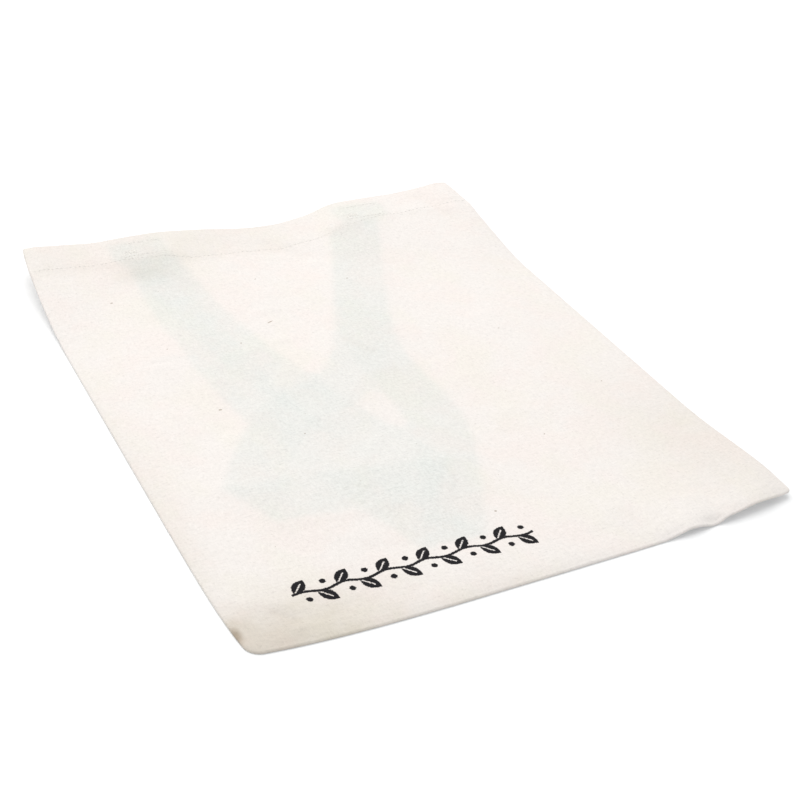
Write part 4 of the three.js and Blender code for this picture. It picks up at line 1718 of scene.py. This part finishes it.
def make_stage():
    """One large floor, just under the bag."""
    mesh = bpy.data.meshes.new("floor")
    r = FLOOR_REACH_METRES
    mesh.from_pydata([(-r, -r, 0), (r, -r, 0), (r, r, 0), (-r, r, 0)], [], [(0, 1, 2, 3)])
    mesh.materials.append(floor_material())
    floor = bpy.data.objects.new("floor", mesh)
    floor.location.z = -FLOOR_DROP_METRES
    bpy.context.scene.collection.objects.link(floor)


def make_light():
    """Plain air all round and one large soft lamp above, a little behind."""
    world = bpy.data.worlds.new("studio")
    bpy.context.scene.world = world
    world.use_nodes = True
    tree = world.node_tree
    background = tree.nodes["Background"]
    set_values(background, {"Color": (*AIR_COLOUR, 1)})
    whiter = maths(tree, "MULTIPLY", seen_directly(tree), AIR_WHITE - WORLD_LEVEL)
    tree.links.new(maths(tree, "ADD", WORLD_LEVEL, whiter), background.inputs["Strength"])
    lamp = bpy.data.lights.new("window", "AREA")
    lamp.shape = "DISK"
    lamp.size = LAMP_SIZE_METRES
    lamp.energy = LAMP_WATTS
    lamp.color = LAMP_COLOUR
    holder = bpy.data.objects.new("window", lamp)
    direction = Vector(LAMP_DIRECTION).normalized()
    holder.location = direction * LAMP_DISTANCE_METRES
    holder.rotation_mode = "QUATERNION"
    holder.rotation_quaternion = direction.to_track_quat("Z", "Y")
    bpy.context.scene.collection.objects.link(holder)


def make_camera():
    """The view of the photograph: from the front left, turned a little."""
    azimuth, elevation, roll = (math.radians(a) for a in (CAMERA_AZIMUTH, CAMERA_ELEVATION, CAMERA_ROLL))
    level_reach = math.cos(elevation)
    back = Vector((math.sin(azimuth) * level_reach, -math.cos(azimuth) * level_reach, math.sin(elevation)))
    x = Vector((0, 0, 1)).cross(back).normalized()
    y = back.cross(x)
    right = x * math.cos(roll) + y * math.sin(roll)
    up = y * math.cos(roll) - x * math.sin(roll)
    data = bpy.data.cameras.new("camera")
    data.sensor_width = SENSOR_WIDTH
    data.sensor_fit = "HORIZONTAL"
    data.lens = CAMERA_FOCUS_PIXELS * SENSOR_WIDTH / PICTURE_PIXELS
    data.clip_start = 0.01
    data.clip_end = 50
    camera = bpy.data.objects.new("camera", data)
    eye = (Vector(CAMERA_TARGET) + back * CAMERA_DISTANCE) * MM
    turn = Matrix((right, up, back)).transposed().to_4x4()
    camera.matrix_world = Matrix.Translation(eye) @ turn
    bpy.context.scene.collection.objects.link(camera)
    bpy.context.scene.camera = camera


def main():
    bpy.context.scene.view_settings.view_transform = "Standard"
    make_camera()
    make_stage()
    make_light()

    weave = weave_group()
    flecks = fleck_group()
    front_cotton = cloth_material(
        "front_cotton", weave, flecks, CREAM, shown_through=1.0, printed=print_group(), painted_shade_and_soil=True,
    )
    back_cotton = cloth_material("back_cotton", weave, flecks, CREAM, shown_through=0.8)
    hem_cotton = cloth_material("hem_cotton", weave, flecks, CREAM)
    strap_cotton = cloth_material("strap_cotton", weave, flecks, STRAP_CREAM)
    seam_cotton = cloth_material("seam_cotton", weave, flecks, SEAM_CREAM)

    front_sections = strap_sections(front_handle_runs())
    back_sections = strap_sections(back_handle_runs())
    strap_tops, strap_layers = strap_top_map((front_sections, back_sections))
    crease_height, crease_shade = creases()
    # painted shade of the straps below the cloth
    below = shown_straps(strap_layers)
    front = front_sheet(strap_tops, crease_height)
    back = back_sheet()
    make_back_cloth(back, {"shade_of_straps": below}, back_cotton)
    make_front_cloths(front, {"shade_of_straps": below, "painted_shade_and_soil": shade_and_soil_places(crease_shade)}, front_cotton)
    make_hems(front, back, hem_cotton)
    make_seams(back, seam_cotton)
    make_handles(front_sections, back_sections, strap_cotton)
    make_stitches(front, back, stitch_tree(), thread_material(), hole_material())


main()
